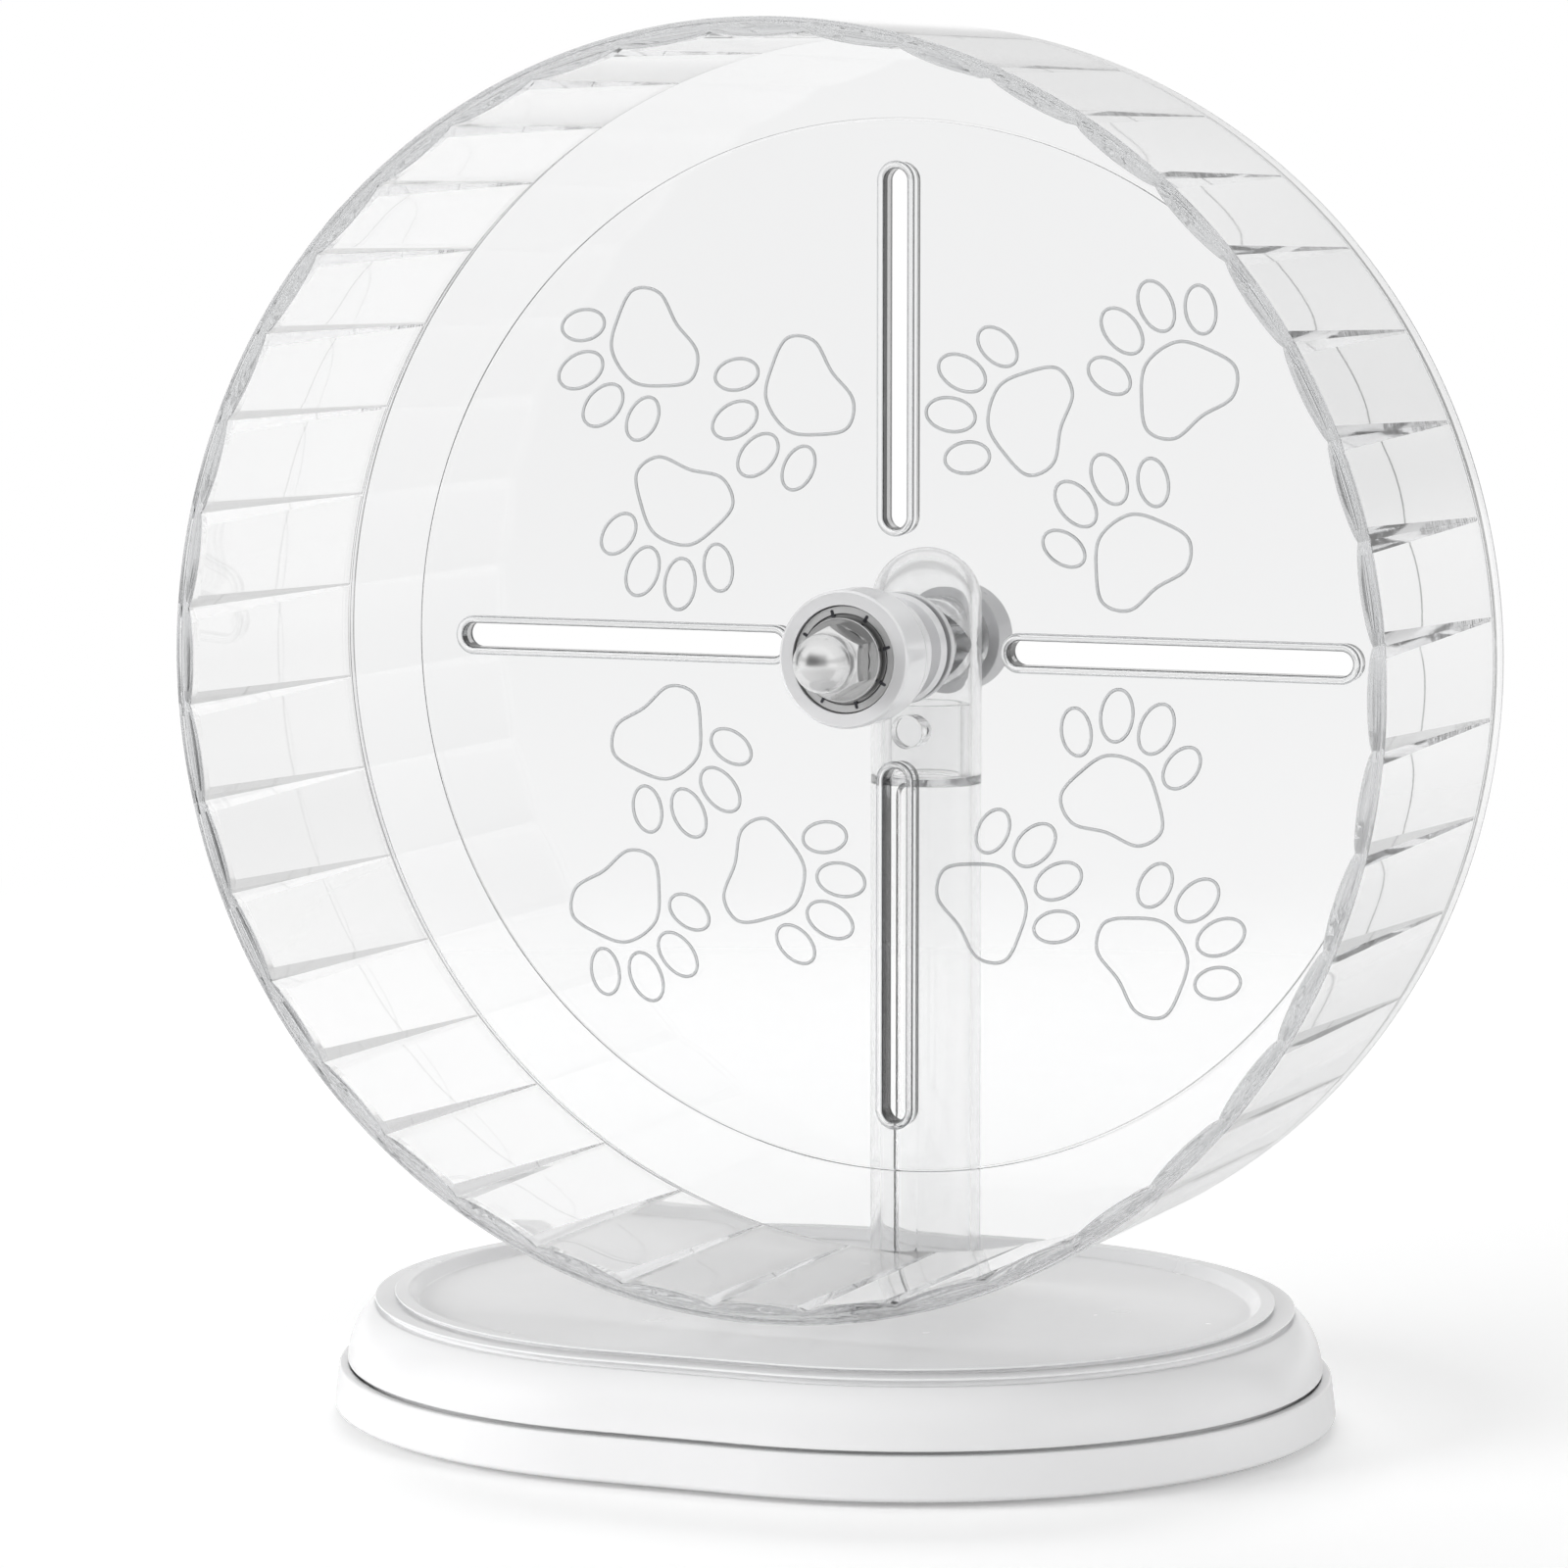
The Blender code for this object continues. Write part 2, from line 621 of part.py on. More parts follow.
def make_column_head():
    centre = AXLE_HEIGHT + HEAD_RISE - COLUMN_RADIUS
    inner = COLUMN_RADIUS - COLUMN_WALL
    profile = dome_arc(COLUMN_RADIUS, centre)
    profile += [(COLUMN_RADIUS, SEAM), (inner, SEAM)]
    profile += reversed(dome_arc(inner, centre))
    head = add_object("column_head", turned(profile, FACETS_COLUMN, closed=False), clear_plastic, column)
    low = BOSS_BACK - COLUMN_PLACE
    high = BOSS_FRONT - COLUMN_PLACE
    across = (math.pi / 2, 0, 0)
    at_axle = (0, 0, AXLE_HEIGHT)
    boss = cutter("axle_boss", cylinders([(0, 0)], AXLE_BOSS_RADIUS, low, high, FACETS_COLUMN), column,
                  at_axle, across)
    boolean(head, boss, "UNION")
    bore = cylinders([(0, 0)], SLIP_RADIUS, low - OVERSHOOT, high + OVERSHOOT, FACETS_BEARING)
    boolean(head, cutter("axle_bore", bore, column, at_axle, across), "DIFFERENCE")
    pin_hole(head)


def pin_hole(target):
    hole = cylinders([(0, 0)], PIN_RADIUS + GAP, 0, COLUMN_RADIUS + OVERSHOOT, FACETS_FOOT)
    tool = cutter(f"pin_hole_{target.name}", hole, column, (0, 0, PIN_HEIGHT), (math.pi / 2, 0, 0))
    boolean(target, tool, "DIFFERENCE")


def make_column_post():
    spigot = COLUMN_RADIUS - COLUMN_WALL - GAP
    spigot_bore = spigot - SPIGOT_WALL
    bore = COLUMN_RADIUS - COLUMN_WALL
    shoulder = SEAM - GAP
    floor = POST_FOOT + POST_FLOOR
    profile = [
        (spigot, SPIGOT_TOP),
        (spigot, shoulder),
        (COLUMN_RADIUS, shoulder),
        (COLUMN_RADIUS, POST_FOOT),
        (0, POST_FOOT),
    ]
    inside = [
        (0, floor),
        (bore, floor),
        (bore, shoulder - SPIGOT_WALL),
        (spigot_bore, shoulder),
        (spigot_bore, SPIGOT_TOP),
    ]
    mesh = turned([*inside, *profile], FACETS_COLUMN, closed=False)
    post = add_object("column_post", mesh, clear_plastic, column)
    pin_hole(post)
    top = shoulder - GROOVE_TOP_MARGIN
    foot = TRAY_TOP + GROOVE_FOOT_MARGIN
    radius = GROOVE_WIDTH / 2
    half = (top - foot) / 2 - radius
    depth = COLUMN_RADIUS - GROOVE_DEPTH
    sections = [
        stadium(half, radius, depth, SLOT_FACETS),
        stadium(half, radius + GROOVE_BEVEL, COLUMN_RADIUS, SLOT_FACETS),
        stadium(half, radius + GROOVE_BEVEL, COLUMN_RADIUS + OVERSHOOT, SLOT_FACETS),
    ]
    groove = cutter("front_groove", loft(sections), column, (0, 0, (top + foot) / 2),
                    (math.pi / 2, math.pi / 2, 0))
    boolean(post, groove, "DIFFERENCE")
    holes = cylinders([(-COLUMN_SCREW_OFFSET, 0), (COLUMN_SCREW_OFFSET, 0)], SCREW_HOLE,
                      POST_FOOT - OVERSHOOT, floor + OVERSHOOT)
    boolean(post, cutter("post_screw_holes", holes, column), "DIFFERENCE")

    pin_back = spigot_bore - PIN_TAIL
    pin_front = COLUMN_RADIUS - PIN_SUNK
    pin = cylinders([(0, 0)], PIN_RADIUS, pin_back, pin_front, FACETS_FOOT)
    made = add_object("lock_pin", pin, clear_plastic, column, (0, 0, PIN_HEIGHT))
    made.rotation_euler = (math.pi / 2, 0, 0)


# Base

def plan_places(inset, angle):
    """Four mirrored places at one inset from the skirt, on the rounded ends of the base."""
    reach = BASE_RADIUS - inset
    x = BASE_STRAIGHT / 2 + reach * math.cos(angle)
    y = reach * math.sin(angle)
    return [(side * x, end * y) for side in (1, -1) for end in (1, -1)]


def column_screw_places():
    return [(side * COLUMN_SCREW_OFFSET, COLUMN_Y) for side in (-1, 1)]


def make_pan():
    top_outer = BASE_RADIUS - SKIRT_DRAFT
    profile = [
        (0, PAN_TOP),
        (BASE_RADIUS - SKIRT_WALL, PAN_TOP),
        (top_outer - SKIRT_WALL, SEAM_HEIGHT),
        (top_outer, SEAM_HEIGHT),
        (BASE_RADIUS, FOOT_PROUD + SKIRT_ROUND),
        (BASE_RADIUS - SKIRT_ROUND, FOOT_PROUD),
        (0, FOOT_PROUD),
    ]
    mesh = stretched(turned(profile, FACETS_BASE, closed=False), BASE_STRAIGHT)
    pan = add_object("base_pan", mesh, white_plastic)
    inside = PAN_TOP - PAN_FLOOR / 2
    screws = plan_places(SCREW_INSET, SCREW_ANGLE)
    bosses = cylinders(screws, BOSS_RADIUS, inside, BOSS_TOP)
    boolean(pan, cutter("pan_bosses", bosses), "UNION")
    pad = cylinders([(0, COLUMN_Y)], SOCKET_RADIUS, inside, BOSS_TOP, FACETS_COLUMN)
    boolean(pan, cutter("column_pad", pad), "UNION")
    screws = screws + column_screw_places()
    below = FOOT_PROUD - OVERSHOOT
    counterbores = cylinders(screws, SCREW_HEAD_RADIUS + GAP, below, FOOT_PROUD + SCREW_COUNTERBORE)
    boolean(pan, cutter("pan_counterbores", counterbores), "DIFFERENCE")
    boolean(pan, cutter("pan_screw_holes", cylinders(screws, SCREW_HOLE, below, BOSS_TOP + OVERSHOOT)),
            "DIFFERENCE")
    seats = cylinders(plan_places(FOOT_INSET, FOOT_ANGLE), FOOT_RADIUS + GAP, below, FOOT_PROUD + FOOT_SINK,
                      FACETS_FOOT)
    boolean(pan, cutter("foot_seats", seats), "DIFFERENCE")


def cover_profile():
    """(inset, height) points of the cover, from the middle of its tray outwards, down and back inside."""
    shoulder_foot = SEAM_HEIGHT + GAP
    shoulder_top = shoulder_foot + SHOULDER_RISE
    width = SHOULDER_WIDTH / (1 - math.cos(SHOULDER_SWEEP))
    rise = SHOULDER_RISE / math.sin(SHOULDER_SWEEP)
    shoulder = []
    for step in range(SHOULDER_FACETS, -1, -1):
        angle = SHOULDER_SWEEP * step / SHOULDER_FACETS
        shoulder.append((LEDGE_INSET + width * (1 - math.cos(angle)), shoulder_foot + rise * math.sin(angle)))
    outside = [
        (TRAY_INSET, TRAY_TOP),
        (SLOPE_INSET, LIP_TOP),
        (LIP_INSET + RIM_EDGE, LIP_TOP),
        (LIP_INSET, LIP_TOP - RIM_EDGE),
        (LIP_INSET, RIM_TOP),
        (RIM_INSET + RIM_EDGE, RIM_TOP),
        (RIM_INSET, RIM_TOP - RIM_EDGE),
        (RIM_INSET, shoulder_top),
    ]
    lip_outer = SKIRT_DRAFT + SKIRT_WALL + GAP
    lip_inner = lip_outer + COVER_LIP_WALL
    lip_foot = SEAM_HEIGHT - COVER_LIP
    under_tray = TRAY_TOP - COVER_SHELL
    inside = [
        (lip_outer, shoulder_foot),
        (lip_outer, lip_foot),
        (lip_inner, lip_foot),
        (RIM_INSET + COVER_SHELL, RIM_TOP - COVER_SHELL),
        (SLOPE_INSET, under_tray),
    ]
    return outside + shoulder + inside


def make_cover():
    under_tray = TRAY_TOP - COVER_SHELL
    outline = [(BASE_RADIUS - inset, height) for inset, height in cover_profile()]
    mesh = turned([(0, TRAY_TOP), *outline, (0, under_tray)], FACETS_BASE, closed=False)
    cover = add_object("base_cover", stretched(mesh, BASE_STRAIGHT), white_plastic)
    inside = TRAY_TOP - COVER_SHELL / 2
    screws = plan_places(SCREW_INSET, SCREW_ANGLE)
    boolean(cover, cutter("cover_bosses", cylinders(screws, BOSS_RADIUS, POST_FOOT, inside)), "UNION")
    socket = cylinders([(0, COLUMN_Y)], SOCKET_RADIUS, POST_FOOT, inside, FACETS_COLUMN)
    boolean(cover, cutter("column_socket", socket), "UNION")
    pilots = cylinders(screws, SCREW_HOLE, POST_FOOT - OVERSHOOT, under_tray)
    boolean(cover, cutter("cover_pilots", pilots), "DIFFERENCE")
    hole = cylinders([(0, COLUMN_Y)], COLUMN_RADIUS + GAP, POST_FOOT - OVERSHOOT, TRAY_TOP + OVERSHOOT,
                     FACETS_COLUMN)
    boolean(cover, cutter("column_hole", hole), "DIFFERENCE")


def make_feet():
    foot = foot_mesh()
    for number, (x, y) in enumerate(plan_places(FOOT_INSET, FOOT_ANGLE), start=1):
        add_object(f"rubber_foot_{number}", foot, rubber, location=(x, y, 0))


def foot_mesh():
    top = FOOT_PROUD + FOOT_SINK - GAP
    profile = [
        (0, top),
        (FOOT_RADIUS, top),
        (FOOT_RADIUS, SKIRT_ROUND / 2),
        (FOOT_RADIUS - SKIRT_ROUND / 2, 0),
        (0, 0),
    ]
    return turned(profile, FACETS_FOOT, closed=False)


def make_screws():
    seat = FOOT_PROUD + SCREW_COUNTERBORE - GAP
    profile = [
        (0, SCREW_REACH),
        (SCREW_RADIUS, SCREW_REACH - SCREW_RADIUS),
        (SCREW_RADIUS, 0),
        (SCREW_HEAD_RADIUS, 0),
        (SCREW_HEAD_RADIUS, -SCREW_HEAD / 2),
        (SCREW_HEAD_RADIUS / 2, -SCREW_HEAD),
        (0, -SCREW_HEAD),
    ]
    screw = turned(profile, FACETS_SCREW, closed=False)
    for number, (x, y) in enumerate(plan_places(SCREW_INSET, SCREW_ANGLE), start=1):
        add_object(f"base_screw_{number}", screw, bearing_steel, location=(x, y, seat))
    for number, (x, y) in enumerate(column_screw_places(), start=1):
        add_object(f"column_screw_{number}", screw, bearing_steel, location=(x, y, seat))


# Build

clear_scene()
parts = new_collection("hamster_wheel")
cutters = new_collection("cutters")

clear_plastic = new_material("clear_plastic", (0.92, 0.93, 0.94), 0.04, clear=1.0)
white_plastic = new_material("white_plastic", (0.86, 0.86, 0.87), 0.18)
grey_plastic = new_material("grey_plastic", (0.42, 0.42, 0.43), 0.30)
cage_plastic = new_material("cage_plastic", (0.10, 0.10, 0.11), 0.50)
bearing_steel = new_material("bearing_steel", (0.58, 0.58, 0.60), 0.22, metallic=1.0)
dark_steel = new_material("dark_steel", (0.32, 0.32, 0.34), 0.30, metallic=1.0)
chrome = new_material("chrome", (0.80, 0.80, 0.82), 0.06, metallic=1.0)
rubber = new_material("rubber", (0.06, 0.06, 0.06), 0.80)

axle = bpy.data.objects.new("axle_axis", None)
axle.location = (0, 0, AXLE_HEIGHT)
axle.rotation_euler = (math.pi / 2, 0, 0)
parts.objects.link(axle)
column = bpy.data.objects.new("column_axis", None)
column.location = (0, COLUMN_Y, 0)
parts.objects.link(column)

make_drum()
make_disc()
make_hub()
make_bearing("front", FRONT_BEARING, 1)
make_bearing("rear", REAR_BEARING, -1)
make_axle()
make_column_head()
make_column_post()
make_pan()
make_cover()
make_feet()
make_screws()
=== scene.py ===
"""Looks of the hamster wheel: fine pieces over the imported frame, their materials, and a plain studio.

Units are metres. The axle runs along Y and the open side of the drum faces -Y. Distances along the
axle are given forward of the drum's middle plane, towards -Y.
"""
import json
import math

import bmesh
import bpy
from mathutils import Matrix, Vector


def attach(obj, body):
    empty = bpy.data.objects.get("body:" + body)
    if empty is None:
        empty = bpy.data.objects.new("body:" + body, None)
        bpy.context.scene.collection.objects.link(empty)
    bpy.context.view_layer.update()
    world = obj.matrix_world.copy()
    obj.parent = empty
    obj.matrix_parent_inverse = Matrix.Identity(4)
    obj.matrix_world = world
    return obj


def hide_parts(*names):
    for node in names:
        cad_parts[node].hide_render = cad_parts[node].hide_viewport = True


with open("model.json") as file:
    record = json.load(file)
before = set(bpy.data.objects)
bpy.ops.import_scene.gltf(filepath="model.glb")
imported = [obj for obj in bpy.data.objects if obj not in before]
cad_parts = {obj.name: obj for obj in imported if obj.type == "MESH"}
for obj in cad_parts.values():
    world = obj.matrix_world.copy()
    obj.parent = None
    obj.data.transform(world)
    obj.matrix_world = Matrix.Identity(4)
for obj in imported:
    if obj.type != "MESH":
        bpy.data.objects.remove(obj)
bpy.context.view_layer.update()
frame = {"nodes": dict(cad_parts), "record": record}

# Sizes and places of the part, as they follow from its source
GAP = 0.0003
AXLE_HEIGHT = 0.1551
DRUM_RADIUS = 0.130
DRUM_INNER = 0.1274
DRUM_SEAT = 0.1286
DRUM_FRONT = 0.040
DRUM_BACK = -0.040
SCALLOP_COUNT = 40
SCALLOP_DEPTH = 0.0014
DISC_RADIUS = 0.1283
DISC_STEP_RADIUS = 0.1105
DISC_STEP = 0.0005
DISC_FRONT = -0.0343
DISC_BACK = -0.0373
SLOT_WIDTH = 0.0055
SLOT_INNER = 0.0250
SLOT_OUTER = 0.1002
COLLAR_WALL = 0.0012
COLLAR_FRONT = 0.0008
COLLAR_BACK = 0.0018
HUB_FRONT = -0.0053
HUB_RADIUS = 0.0143
HUB_HOUSING = 0.0118
BARREL_RADIUS = 0.0127
BARREL_BACK = -0.0227
BEARING_SEAT = -0.0215
NECK_BORE = 0.0070
NECK_RADIUS = 0.0090
FLANGE_RADIUS = 0.0118
FLANGE_THICKNESS = 0.0020
SEAT_RADIUS = 0.0112
CLAMP_BACK = -0.0396
CLAMP_FRONT = -0.0376
FRONT_BEARING = -0.0096
REAR_BEARING = -0.0178
BEARING_HALF = 0.0035
BEARING_RADIUS = 0.0110
BEARING_LIP = 0.0094
SHIELD_INNER = 0.0064
SHIELD_OUTER = 0.0092
SHIELD_BACK = 0.0028
SHIELD_FRONT = 0.0032
SHANK_RADIUS = 0.0038
SLIP_RADIUS = 0.0041
SPACER_RADIUS = 0.0058
BOLT_HEAD_FRONT = -0.0671
BOLT_HEAD_BACK = -0.0724
NUT_SEAT = -0.0034
NUT_HEIGHT = 0.0150
NUT_HEX = 0.0065
NUT_DOME = 0.00615
HEX_FLATS = 0.0130
WASHER_RADIUS = 0.0087
WASHER_FRONT = -0.0037
WASHER_BACK = -0.0053
BOSS_FRONT = -0.0410
BOSS_BACK = -0.0655
CAP_FRONT = -0.0658
CAP_BACK = -0.0749
CAP_WALL = 0.0016
CAP_CAVITY = 0.0083
COLUMN_Y = 0.05325
COLUMN_RADIUS = 0.01175
COLUMN_INNER = 0.00955
COLUMN_TOP = 0.1754
SPIGOT_RADIUS = 0.00925
SPIGOT_BORE = 0.00725
SPIGOT_TOP = 0.1424
SEAM = 0.1276
PIN_HEIGHT = 0.1371
PIN_RADIUS = 0.0035
BOSS_RADIUS = 0.0095
POST_FOOT = 0.0068
POST_FLOOR_TOP = 0.0118
GROOVE_WIDTH = 0.0040
GROOVE_BEVEL = 0.0010
GROOVE_DEPTH = 0.0012
GROOVE_TOP = 0.1255
GROOVE_FOOT = 0.0256
BASE_STRAIGHT = 0.0340
BASE_RADIUS = 0.0874
PAN_FOOT = 0.0012
PAN_TOP = 0.0034
SEAM_HEIGHT = 0.0101
SHOULDER_WIDTH = 0.0055
SHOULDER_RISE = 0.0116
RIM_TOP = 0.0238
LIP_TOP = 0.0249
TRAY_TOP = 0.0226
COVER_SHELL = 0.0022
FOOT_RADIUS = 0.0080
FOOT_TOP = 0.0019

# Finer shape of the drum: its rim, the skin outside its scallops, and the grooves between them, whose
# half widths are shares of the scallops' pitch
RIM_LIP = 0.0006
RIM_BEAD = 0.0010
RIM_ARCH = 0.7
DRUM_SKIN = 0.0013
SKIN_FADE = 0.0012
WALL_ARCH = 0.3
NOTCH_FRONT = 0.13
NOTCH_BACK = 0.02

# Facets of the fine pieces, and edges that are sharp from these angles on, in degrees
ROUND = 128
SMALL_ROUND = 64
COLUMN_ROUND = 96
DISC_ROUND = 256
NUT_ROUND = 144
BASE_ROUND = 202
SLOT_ROUND = 66
SLOT_END = 16
SCALLOP_FACETS = 14
NOTCH_COLUMN = 2 / SCALLOP_FACETS
SHARP = 35.0
SCALLOP_SHARP = 14.0
NUT_SHARP = 22.0
COLLAR_SHARP = 25.0
BEAD_SHARP = 60.0

# Lengths below which a radius or offset counts as none, by which fits of the column's pieces differ, and
# by which cutting tools reach past what they cut
TINY = GAP / 10
HAIRLINE = 0.00005
OVERCUT = 0.001

SLOT_REACH = SLOT_WIDTH / 2
SLOT_MIDDLE = (SLOT_OUTER + SLOT_INNER) / 2
SLOT_HALF = (SLOT_OUTER - SLOT_INNER - SLOT_WIDTH) / 2


# Shapes

def on_axle(x, y, forward):
    return (x, -forward, AXLE_HEIGHT + y)


def turned_round(turn, x, y, forward):
    """A point on the axle's front plane, turned about the axle."""
    across = x * math.cos(turn) - y * math.sin(turn)
    up = x * math.sin(turn) + y * math.cos(turn)
    return on_axle(across, up, forward)


def upright(across, along):
    return lambda x, y, height: (across + x, along + y, height)


def on_base(x, y, height):
    """Pulls a round plan apart into the base's oblong one."""
    if abs(x) < TINY:
        return (x, y, height)
    return (x + math.copysign(BASE_STRAIGHT / 2, x), y, height)


on_column = upright(0.0, COLUMN_Y)


def solid(name, verts, faces, sharp=SHARP):
    """An object with its normals outward, smooth but for edges sharper than the angle."""
    mesh = bpy.data.meshes.new(name)
    mesh.from_pydata(verts, [], faces)
    shape = bmesh.new()
    shape.from_mesh(mesh)
    bmesh.ops.recalc_face_normals(shape, faces=shape.faces[:])
    shape.to_mesh(mesh)
    shape.free()
    smoothed(mesh, name, sharp)
    made = bpy.data.objects.new(name, mesh)
    bpy.context.scene.collection.objects.link(made)
    return made


def smoothed(mesh, name, sharp):
    mesh.name = name
    mesh.shade_smooth()
    mesh.set_sharp_from_angle(angle=math.radians(sharp))


def eased(points, reach, steps=5, closed=True):
    """A profile whose corners are short curves that start reach before each corner."""
    most = 0.45
    eased_points = []
    last = len(points) - 1
    for i, point in enumerate(points):
        here = Vector(point)
        if not closed and i in (0, last):
            eased_points.append(tuple(here))
            continue
        before = Vector(points[i - 1]) - here
        after = Vector(points[(i + 1) % (last + 1)]) - here
        cut = min(reach, before.length * most, after.length * most)
        start = here + before.normalized() * cut
        end = here + after.normalized() * cut
        for step in range(steps + 1):
            t = step / steps
            curve = start * (1 - t) ** 2 + here * (2 * t * (1 - t)) + end * t * t
            eased_points.append(tuple(curve))
    return eased_points


def revolve(profile, segments, place, closed=True):
    """Vertices and faces of a profile of (radius, height) points turned about its axis."""
    verts, rows, faces = [], [], []
    for radius, height in profile:
        if radius < TINY:
            rows.append([len(verts)] * segments)
            verts.append(place(0.0, 0.0, height))
            continue
        rows.append(list(range(len(verts), len(verts) + segments)))
        for step in range(segments):
            angle = 2 * math.pi * step / segments
            verts.append(place(radius * math.cos(angle), radius * math.sin(angle), height))
    bands = list(zip(rows, rows[1:]))
    if closed:
        bands.append((rows[-1], rows[0]))
    for low, high in bands:
        for step in range(segments):
            ahead = (step + 1) % segments
            corners = list(dict.fromkeys((low[step], low[ahead], high[ahead], high[step])))
            if len(corners) > 2:
                faces.append(corners)
    return verts, faces


def turned(name, profile, place=on_axle, segments=ROUND, closed=True, sharp=SHARP):
    return solid(name, *revolve(profile, segments, place, closed), sharp)


def ring_profile(inner, outer, low, high):
    return [(outer, high), (outer, low), (inner, low), (inner, high)]


def stadium(half, radius, facets=SLOT_END):
    """Points of a round-ended slot along x, counter-clockwise."""
    points = []
    for side, start in ((1, -math.pi / 2), (-1, math.pi / 2)):
        for step in range(facets + 1):
            angle = start + math.pi * step / facets
            points.append((side * half + radius * math.cos(angle), radius * math.sin(angle)))
    return points


def loft(sections, place):
    """Vertices and faces of a closed bar through (points, height) sections."""
    verts, faces = [], []
    count = len(sections[0][0])
    for points, height in sections:
        verts += [place(x, y, height) for x, y in points]
    last = (len(sections) - 1) * count
    for low in range(0, last, count):
        for i in range(count):
            j = (i + 1) % count
            faces.append((low + i, low + j, low + count + j, low + count + i))
    faces.append(tuple(reversed(range(count))))
    faces.append(tuple(range(last, last + count)))
    return verts, faces


def bar(name, radius, low, high, place, segments=SMALL_ROUND):
    turns = [2 * math.pi * step / segments for step in range(segments)]
    circle = [(radius * math.cos(turn), radius * math.sin(turn)) for turn in turns]
    return solid(name, *loft([(circle, low), (circle, high)], place))


def carve(target, tools, operation, sharp=SHARP):
    """Applies boolean tools to an object's mesh and removes them."""
    for tool in tools:
        change = target.modifiers.new("change", "BOOLEAN")
        change.object = tool
        change.operation = operation
        change.solver = "EXACT"
    depsgraph = bpy.context.evaluated_depsgraph_get()
    mesh = bpy.data.meshes.new_from_object(target.evaluated_get(depsgraph))
    target.modifiers.clear()
    target.data = mesh
    smoothed(mesh, target.name, sharp)
    for tool in tools:
        bpy.data.objects.remove(tool, do_unlink=True)


def joined(name, shapes, sharp=SHARP):
    """One object of several (vertices, faces) shapes."""
    verts, faces = [], []
    for some_verts, some_faces in shapes:
        first = len(verts)
        verts += some_verts
        faces += [[first + i for i in face] for face in some_faces]
    return solid(name, verts, faces, sharp)


def dress(piece, body, slot, finish, *nodes):
    """Gives a piece its material and body, and hides the CAD nodes that it stands for. Its slot is not
    used.
    """
    piece.data.materials.clear()
    piece.data.materials.append(finish)
    flats = piece.modifiers.new("flats", "WEIGHTED_NORMAL")
    flats.keep_sharp = True
    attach(piece, body)
    if nodes:
        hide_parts(*nodes)


# Materials

MOTTLE_SCALE = 60.0
GRAIN_SCALE = 900.0
GRAIN_DEPTH = 0.0004
RIPPLE_SCALE = 35.0
RIPPLE_DEPTH = 0.001
ACRYLIC_IOR = 1.49
ACRYLIC_ROUGHNESS = 0.02
ACRYLIC_HUE = (0.0, 0.03, 0.06, 1.0)


def new_material(name):
    made = bpy.data.materials.new(name)
    made.use_nodes = True
    tree = made.node_tree
    return made, tree, tree.nodes["Principled BSDF"]


def set_inputs(shader, values):
    for name, value in values.items():
        shader.inputs[name].default_value = value


def grey(level):
    return (level, level, level, 1.0)


def add_node(tree, kind, inputs=None, **settings):
    node = tree.nodes.new(kind)
    for name, value in settings.items():
        setattr(node, name, value)
    set_inputs(node, inputs or {})
    return node


def noise(tree, scale, detail=3.0):
    """A noise value in the part's own frame."""
    where = add_node(tree, "ShaderNodeTexCoord")
    made = add_node(tree, "ShaderNodeTexNoise", {"Scale": scale, "Detail": detail})
    tree.links.new(where.outputs["Object"], made.inputs["Vector"])
    return made.outputs["Fac"]


def ranged(tree, value, low, high):
    """Spreads the usual range of a noise value from low to high."""
    made = add_node(tree, "ShaderNodeMapRange",
                    {"From Min": 0.2, "From Max": 0.8, "To Min": low, "To Max": high})
    tree.links.new(value, made.inputs["Value"])
    return made.outputs["Result"]


def bumpy(tree, shader, strength, depth, height):
    relief = add_node(tree, "ShaderNodeBump", {"Strength": strength, "Distance": depth})
    tree.links.new(height, relief.inputs["Height"])
    tree.links.new(relief.outputs["Normal"], shader.inputs["Normal"])


def mixed_shaders(tree, factor, first, second):
    mix = add_node(tree, "ShaderNodeMixShader")
    tree.links.new(factor, mix.inputs["Fac"])
    tree.links.new(first, mix.inputs[1])
    tree.links.new(second, mix.inputs[2])
    return mix.outputs["Shader"]


def plain_finish(name, light, dark, roughness, spread, bump, **inputs):
    """A colour that drifts between two near shades, with uneven roughness and a fine grain."""
    made, tree, shader = new_material(name)
    set_inputs(shader, inputs)
    mix = add_node(tree, "ShaderNodeMix", data_type="RGBA")
    mix.inputs["A"].default_value = (*light, 1.0)
    mix.inputs["B"].default_value = (*dark, 1.0)
    drift = ranged(tree, noise(tree, MOTTLE_SCALE), 0.0, 1.0)
    tree.links.new(drift, mix.inputs["Factor"])
    tree.links.new(mix.outputs["Result"], shader.inputs["Base Color"])
    wear = ranged(tree, noise(tree, MOTTLE_SCALE), roughness - spread, roughness + spread)
    tree.links.new(wear, shader.inputs["Roughness"])
    bumpy(tree, shader, bump, GRAIN_DEPTH, noise(tree, GRAIN_SCALE))
    return made


